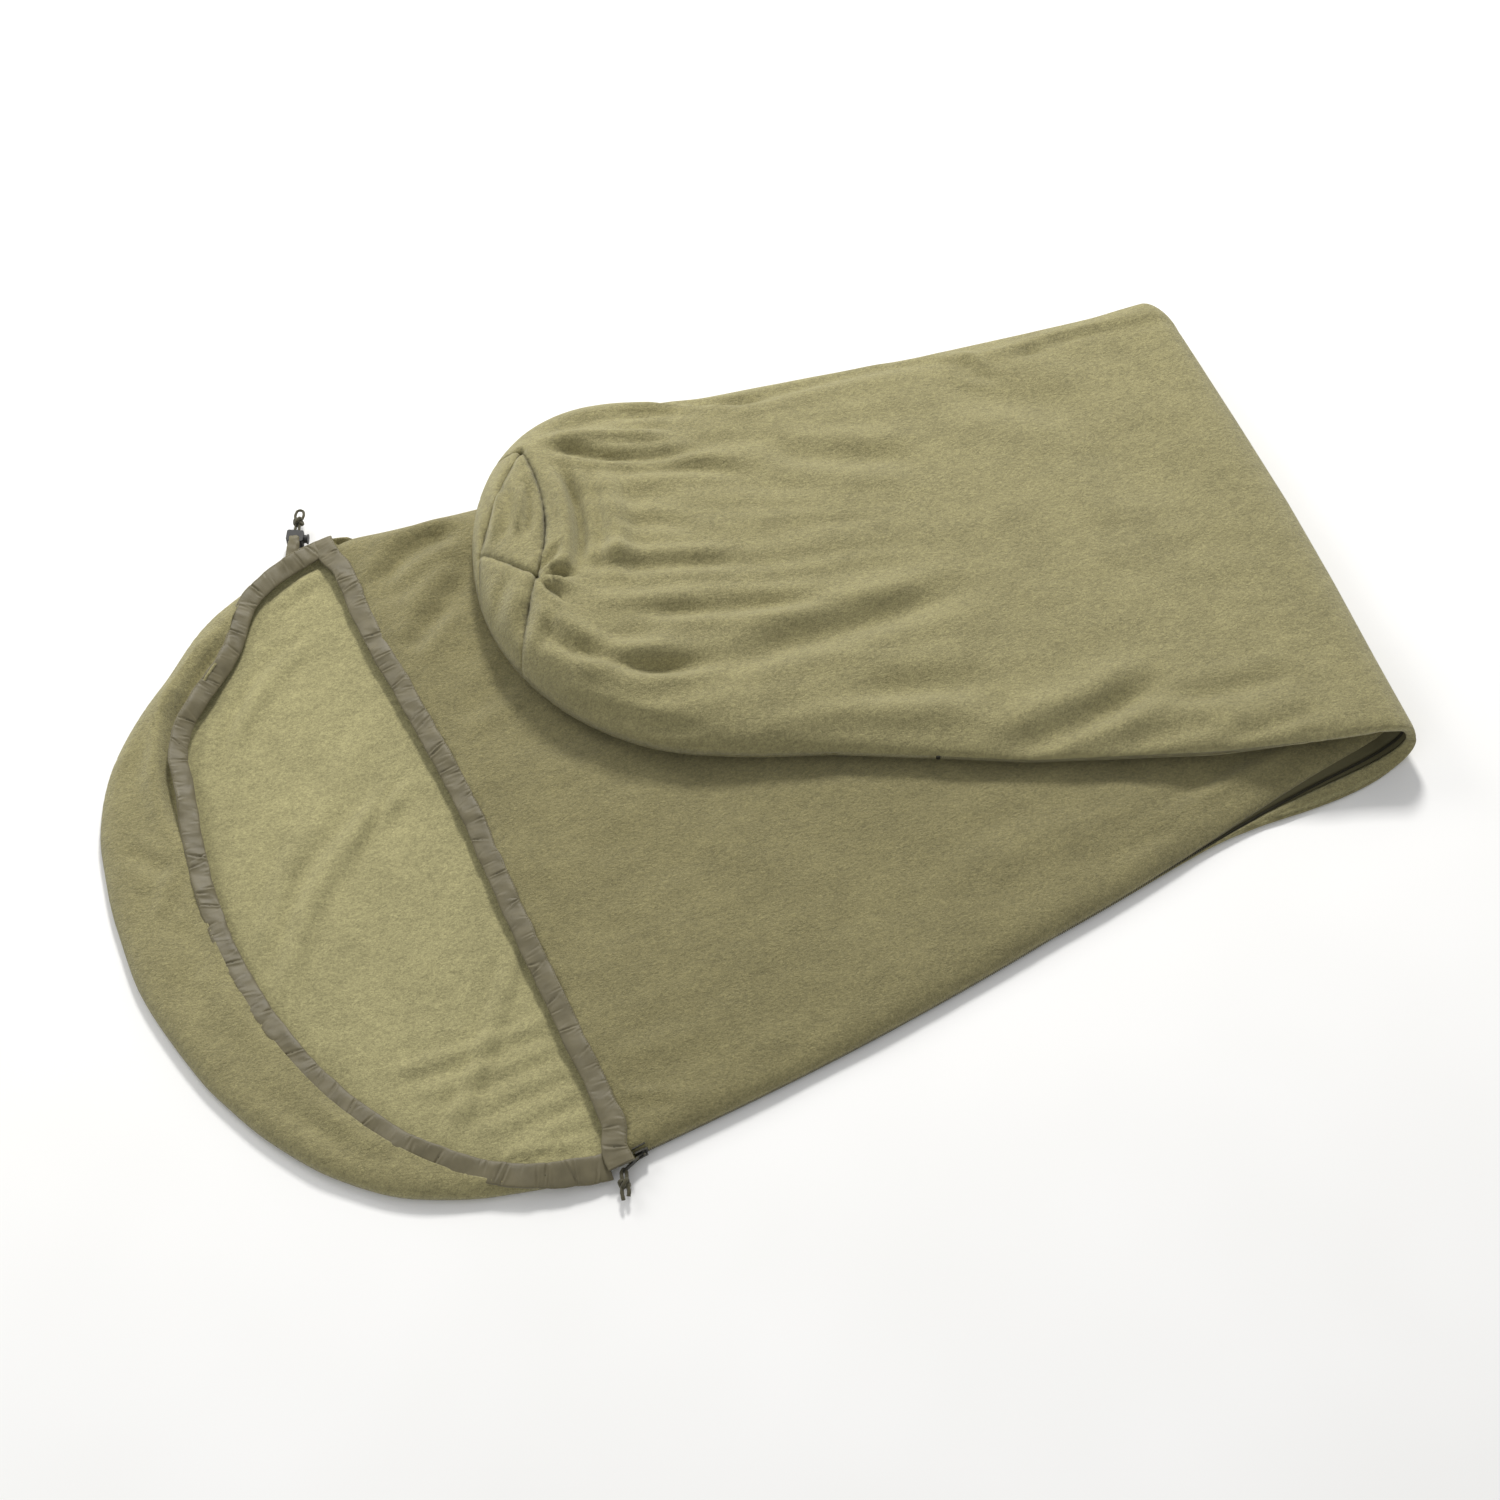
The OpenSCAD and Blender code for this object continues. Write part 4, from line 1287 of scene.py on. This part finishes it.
def knot_path(centre, axis, size, turn=0.0):
    """A trefoil, drawn up tight, whose flat side faces along axis."""
    axis = unit(axis)
    u = unit(np.cross(axis, UP))
    v = np.cross(axis, u)
    t = np.linspace(0.15, 2 * math.pi - 0.15, 40)
    x = (np.sin(t + turn) + 2 * np.sin(2 * t)) / 3
    y = (np.cos(t + turn) - 2 * np.cos(2 * t)) / 3
    z = -np.sin(3 * t) * 0.55
    return centre + size * (np.outer(x, u) + np.outer(y, v) + np.outer(z, axis))


def by_lock(along, across=0.0, up=0.0):
    """A point beside the cord lock, in mm along the free cord, across it and up."""
    return LOCK_AT + (PULL * along + ACROSS * across + UP * up) * MM


def build_drawcords(hood, chest):
    """The cords inside both hems, and the doubled end that leaves them through the cord lock."""
    for name, line, points in (("hood", hood, 130), ("chest", chest, 90)):
        inner = line[:: max(1, len(line) // points)]
        cord(f"{name}_drawcord_braid", inner, CORD_R, "head_half", (f"{name}_drawcord",), 5)
    one_strand = ((-30, 1.7, -1), (-16, 1.7), (0, 1.7), (14, 2.04), (20, 1.36), (29, 4.42), (36, 3.4, -0.4))
    out = [by_lock(*place) for place in one_strand]
    out[5] = out[5] + UP * 0.4 * MM
    home = [by_lock(place[0], -place[1], *place[2:]) for place in reversed(one_strand)]
    cord("drawcord_end_braid", out + [by_lock(37.5)] + home, CORD_R, "drawcord_end", ("drawcord_end",), 0.8)
    cord("drawcord_end_knot", knot_path(by_lock(22), PULL, 4.8 * MM), CORD_R * 1.35, "drawcord_end", (), 0.7)


def build_lock_tab():
    """The nylon loop that ties the cord lock to the end of the hems."""
    places = ((-31, 3.4), (-22, 5), (-13, 6.6), (-6, 7.4), (-2, 7.2), (-0.8, 6.6))
    path = spline([by_lock(along, 0, up) for along, up in places], 0.8 * MM)
    a = round_angles(22)

    def section(i, t):
        w = (7.4 - 1.6 * t + 0.5 * float(noise2(i / 5.0, 0.5, 301))) * MM
        u = blunt(np.cos(a), 0.6) * w
        ripple = 0.8 * MM * noise2(u / (4 * MM), i / 9.0, 302)
        v = np.sin(a) * 0.7 * MM + ripple - 1.5 * MM * (np.abs(u) / w) ** 2
        return np.column_stack([u, v])

    o = sweep("cord_lock_tab_cloth", path, section, NYLON, turning=True)
    hand_over(o, "head_half", "nylon_hem", "cord_lock_tab")


def build_lock_spring():
    """The coil spring inside the cord lock."""
    press = np.array(JOINT["cord_lock_press"]["axis"])
    low, high = (np.array(v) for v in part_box("cord_lock_spring"))
    middle = 0.5 * (low + high)
    length, radius, wire, turns = 6.0 * MM, 3.0 * MM, 0.42 * MM, 5
    side = np.cross(press, UP)
    t = np.linspace(0, 1, turns * 18)
    angle = 2 * math.pi * turns * t
    path = (middle + np.outer((t - 0.5) * length, press)
            + radius * (np.outer(np.cos(angle), side) + np.outer(np.sin(angle), UP)))
    ring = circle(8, wire)
    o = sweep("cord_lock_spring_coil", path, lambda i, share: ring, STEEL, turning=True)
    hand_over(o, "head_half", "spring_steel", "cord_lock_spring")
    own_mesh(o)


def build_pull_cord():
    """A short cord looped through the pull tab, knotted, with two cut ends."""
    pivot = np.array(JOINT["pull_cord_swing"]["pos_m"])
    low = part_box("zip_pull_cord")[0]
    tip = np.array((low[0] + 2 * MM, low[1] + 2 * MM, pivot[2]))
    way = unit(tip - pivot)
    over = np.cross(way, UP)
    knot = pivot + way * 13 * MM

    def near(origin, along, across):
        return origin + (way * along + over * across) * MM

    loop = [near(knot, -2, 1.3), near(knot, -8, 2.6), near(pivot, 0.4, 2.0), near(pivot, -2.0, 0),
            near(pivot, 0.4, -2.0), near(knot, -8, -2.4), near(knot, -2, -1.3)]
    cord("zip_pull_cord_loop", loop, CORD_R * 1.2, "zip_pull_cord", ("zip_pull_cord",), 0.6)
    cord("zip_pull_cord_knot", knot_path(knot, way, 4.8 * MM, 0.4), CORD_R * 1.4, "zip_pull_cord", (), 0.7)
    for letter, side, reach in (("a", 1, 1.0), ("b", -1, 0.78)):
        end = near(knot + (tip - knot) * reach - UP * 1.5 * MM, 0, 2.6 * side)
        tail = [near(knot, 0, 1.2 * side), near(knot, 7, 3.4 * side), end]
        cord(f"zip_pull_cord_tail_{letter}", tail, CORD_R * 1.3, "zip_pull_cord", (), 0.7)


def zip_edge(half):
    """Stations along the zip: the back sheet's edge, the front sheet's edge, the way out, and the height."""
    if half == "head":
        line, _ = along_line(head_side(-1, 24 * MM, QUARTER), 1.8 * MM * DETAIL)
        back, front = draw_in(line, "head", 0), draw_in(line, "head", 1)
        seam = head_seam_z(line[:, 0])
    else:
        pq = foot_side(-1, QUARTER)
        pq, _ = along_line(pq[pq[:, 0] <= 402 * MM], 1.8 * MM * DETAIL)
        line = foot_plan_to_frame(pq)
        t = toward_fold(line)
        back, front = draw_in(line, "foot", 0), draw_in(line, "foot", 1)
        seam = foot_seam_z(pq) * (1 - t) + (2 * FOLD_R - SEAM_Z) * t
    return back, front, left_of(line) * (-1 if half == "head" else 1), seam


def place_edge(half, plan, z):
    if half == "head":
        return round_fold(plan, z, head_edge, False)
    return round_fold(plan, 2 * FOLD_R - z, foot_edge, True)


def build_zip(half):
    """Two tapes and two coils between the sheets' edges, from the slider round the fold to the stop."""
    back, front, out, seam = zip_edge(half)
    up = 1 if half == "head" else -1
    teeth = back * 0.62 + front * 0.38 - out * 2.0 * MM
    gap = np.linalg.norm(back - front, axis=1)
    sink = np.minimum(gap * 0.25, 3 * MM)
    for panel, edge, side in (("back", back, -1), ("front", front, 1)):
        n = len(edge)
        rows = []
        for share in (0.0, 0.3, 0.65, 1.0):
            hidden = edge - out * 3.4 * MM if panel == "back" else edge - out * 4.5 * MM
            plan = teeth * (1 - share) + hidden * share
            z = seam + up * side * (0.5 + 3.4 * share) * MM - up * sink * (1 - share)
            rows.append(place_edge(half, plan, z))
        faces = [(r * n + i, r * n + i + 1, (r + 1) * n + i + 1, (r + 1) * n + i)
                 for r in range(len(rows) - 1) for i in range(n - 1)]
        o = mesh_object(f"zip_tape_{panel}_{half}_cloth", np.vstack(rows), faces, TAPE)
        hand_over(thicken(o, 0.6 * MM), (half, BACK_SPAN), "zip_tape")
        coil = build_coil(half, panel, teeth, out, seam - up * sink + up * side * 1.0 * MM)
        for piece, kind in ((o, "zip_tape"), (coil, "zip_coil")):
            names = [f"{kind}_{panel}_{half}"]
            if half == "head":
                names.append(f"{kind}_{panel}_fold")
            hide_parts(*names)


COIL_PITCH = 2.1 * MM
COIL_R = 1.25 * MM
WIRE_R = 0.42 * MM


def build_coil(half, panel, line, out, z):
    s = lengths(line)
    per_turn = 8
    t = np.arange(0, s[-1], COIL_PITCH / per_turn)
    at = columns(t, s, line)
    way = columns(t, s, out)
    angle = 2 * math.pi * t / COIL_PITCH + (math.pi if panel == "back" else 0)
    plan = at + way * (0.6 * MM + COIL_R * np.cos(angle))[:, None]
    height = np.interp(t, s, z) + COIL_R * np.sin(angle)
    path = place_edge(half, plan, height)
    ring = circle(5, WIRE_R)
    o = sweep(f"zip_coil_{panel}_{half}_wire", path, lambda i, share: ring, COIL, turning=True)
    return hand_over(o, (half, BACK_SPAN), "zip_coil")


def build_bottom_stop():
    line, _, out, seam = zip_edge("foot")
    end = len(line) - 1
    at = np.array((*(line[end] - out[end] * 1.2 * MM), seam[end]))
    along = np.array((*unit(line[end] - line[end - 1]), 0.0))
    path = at + np.outer(np.array((-2.6, -2.2, -1.4, 0, 1.4, 2.2, 2.6)) * MM, along)
    size = (0.2, 0.75, 1.0, 1.0, 1.0, 0.75, 0.2)
    a = round_angles(24)

    def section(i, _):
        u = blunt(np.cos(a), 0.5) * 1.9 * MM
        v = blunt(np.sin(a), 0.5) * 3.2 * MM
        return np.column_stack([u, v]) * size[i]

    o = sweep("zip_bottom_stop_crimp", path, section, METAL)
    hand_over(o, "foot_half", "zip_metal", "zip_bottom_stop")


def stitches(name, line3, pitch, length):
    """A row of short thread stitches that follow a line in space."""
    path, s = along_line(line3, 0.5 * MM)
    verts, faces = [], []
    a = round_angles(6)
    for start in np.arange(pitch, s[-1] - pitch, pitch):
        p = columns((start, start + length), s, path)
        way = unit(p[1] - p[0])
        side = unit(np.cross(way, UP))
        lift = np.cross(side, way)
        base = len(verts)
        for share, r, sink in ((0, 0.15, -0.5), (0.2, 0.36, 0), (0.8, 0.36, 0), (1, 0.15, -0.5)):
            c = p[0] * (1 - share) + p[1] * share + lift * sink * MM
            verts += [c + (side * math.cos(t) + lift * math.sin(t)) * r * MM for t in a]
        for r in range(3):
            faces += [(base + r * 6 + j, base + r * 6 + (j + 1) % 6, base + (r + 1) * 6 + (j + 1) % 6,
                       base + (r + 1) * 6 + j) for j in range(6)]
        faces.append(tuple(range(base, base + 6))[::-1])
        faces.append(tuple(range(base + 18, base + 24)))
    o = mesh_object(name, verts, faces, THREAD)
    return hand_over(o, "head_half", "cord")


def dress_cad_nodes():
    """The hard CAD pieces stay as they are and get their own materials."""
    looks = {"cord_lock_body": LOCK, "cord_lock_plunger": LOCK,
             "zip_slider": METAL, "zip_pull_tab": METAL, "zip_top_stops": METAL}
    for node, material in looks.items():
        o = frame["nodes"][node]
        for s in o.material_slots:
            s.material = material
        if not o.material_slots:
            o.data.materials.append(material)


# ---------------------------------------------------------------- stage, light and camera
def build_stage():
    white = Nodes("studio_floor")
    tone = white.ramp(white.noise(3.0), ((0.3, (0.90, 0.90, 0.89, 1)), (0.7, (0.93, 0.93, 0.925, 1))))
    white.set(Base_Color=tone, Roughness=0.9, Specular_IOR_Level=0.1)
    size = 9.0
    z = -0.4 * MM
    corners = [(-size, -size, z), (size, -size, z), (size, size, z), (-size, size, z)]
    floor = mesh_object("studio_floor", corners, [(0, 1, 2, 3)], white.material, shade=False)


def area_light(name, at, target, size, power, colour=(1, 1, 1)):
    light = bpy.data.lights.new(name, "AREA")
    light.size = size
    light.energy = power
    light.color = colour
    o = bpy.data.objects.new(name, light)
    bpy.context.scene.collection.objects.link(o)
    o.location = at
    o.rotation_euler = (Vector(target) - Vector(at)).to_track_quat("-Z", "Y").to_euler()


def build_lights():
    middle = (0.30, 0.0, 0.0)
    area_light("key", (1.35, 2.4, 2.5), (0.2, 0.1, 0.0), 0.6, 106, (1.0, 0.985, 0.96))
    area_light("second", (-1.0, 2.2, 1.7), (0.1, 0.2, 0.0), 1.0, 22, (1.0, 0.99, 0.97))
    area_light("fill", (-1.9, -1.9, 2.6), middle, 2.6, 12, (0.97, 0.98, 1.0))
    world = bpy.data.worlds.new("studio")
    bpy.context.scene.world = world
    world.use_nodes = True
    background = world.node_tree.nodes["Background"]
    background.inputs["Color"].default_value = (1, 1, 1, 1)
    background.inputs["Strength"].default_value = 0.5


def build_camera():
    """Looks down at the sack from beyond its zip side, a little from the head end."""
    azimuth, elevation, distance, view = math.radians(-23.33), math.radians(58.5), 3.3, math.radians(26.73)
    target = Vector((0.3105, -0.0146, 0.0))
    back = Vector((math.sin(azimuth) * math.cos(elevation), -math.cos(azimuth) * math.cos(elevation),
                   math.sin(elevation)))
    camera = bpy.data.cameras.new("camera")
    camera.angle = view
    o = bpy.data.objects.new("camera", camera)
    bpy.context.scene.collection.objects.link(o)
    o.location = target + back * distance
    o.rotation_euler = (-back).to_track_quat("-Z", "Y").to_euler()
    bpy.context.scene.camera = o


build_head_back()
build_head_front()
build_hood()
build_foot_top()
build_foot_bottom()
hood_path, chest_path = build_hems()
build_drawcords(hood_path, chest_path)
build_lock_tab()
build_lock_spring()
build_pull_cord()
build_zip("head")
build_zip("foot")
build_bottom_stop()
dress_cad_nodes()
build_stage()
build_lights()
build_camera()
bpy.context.scene.view_settings.view_transform = "Standard"
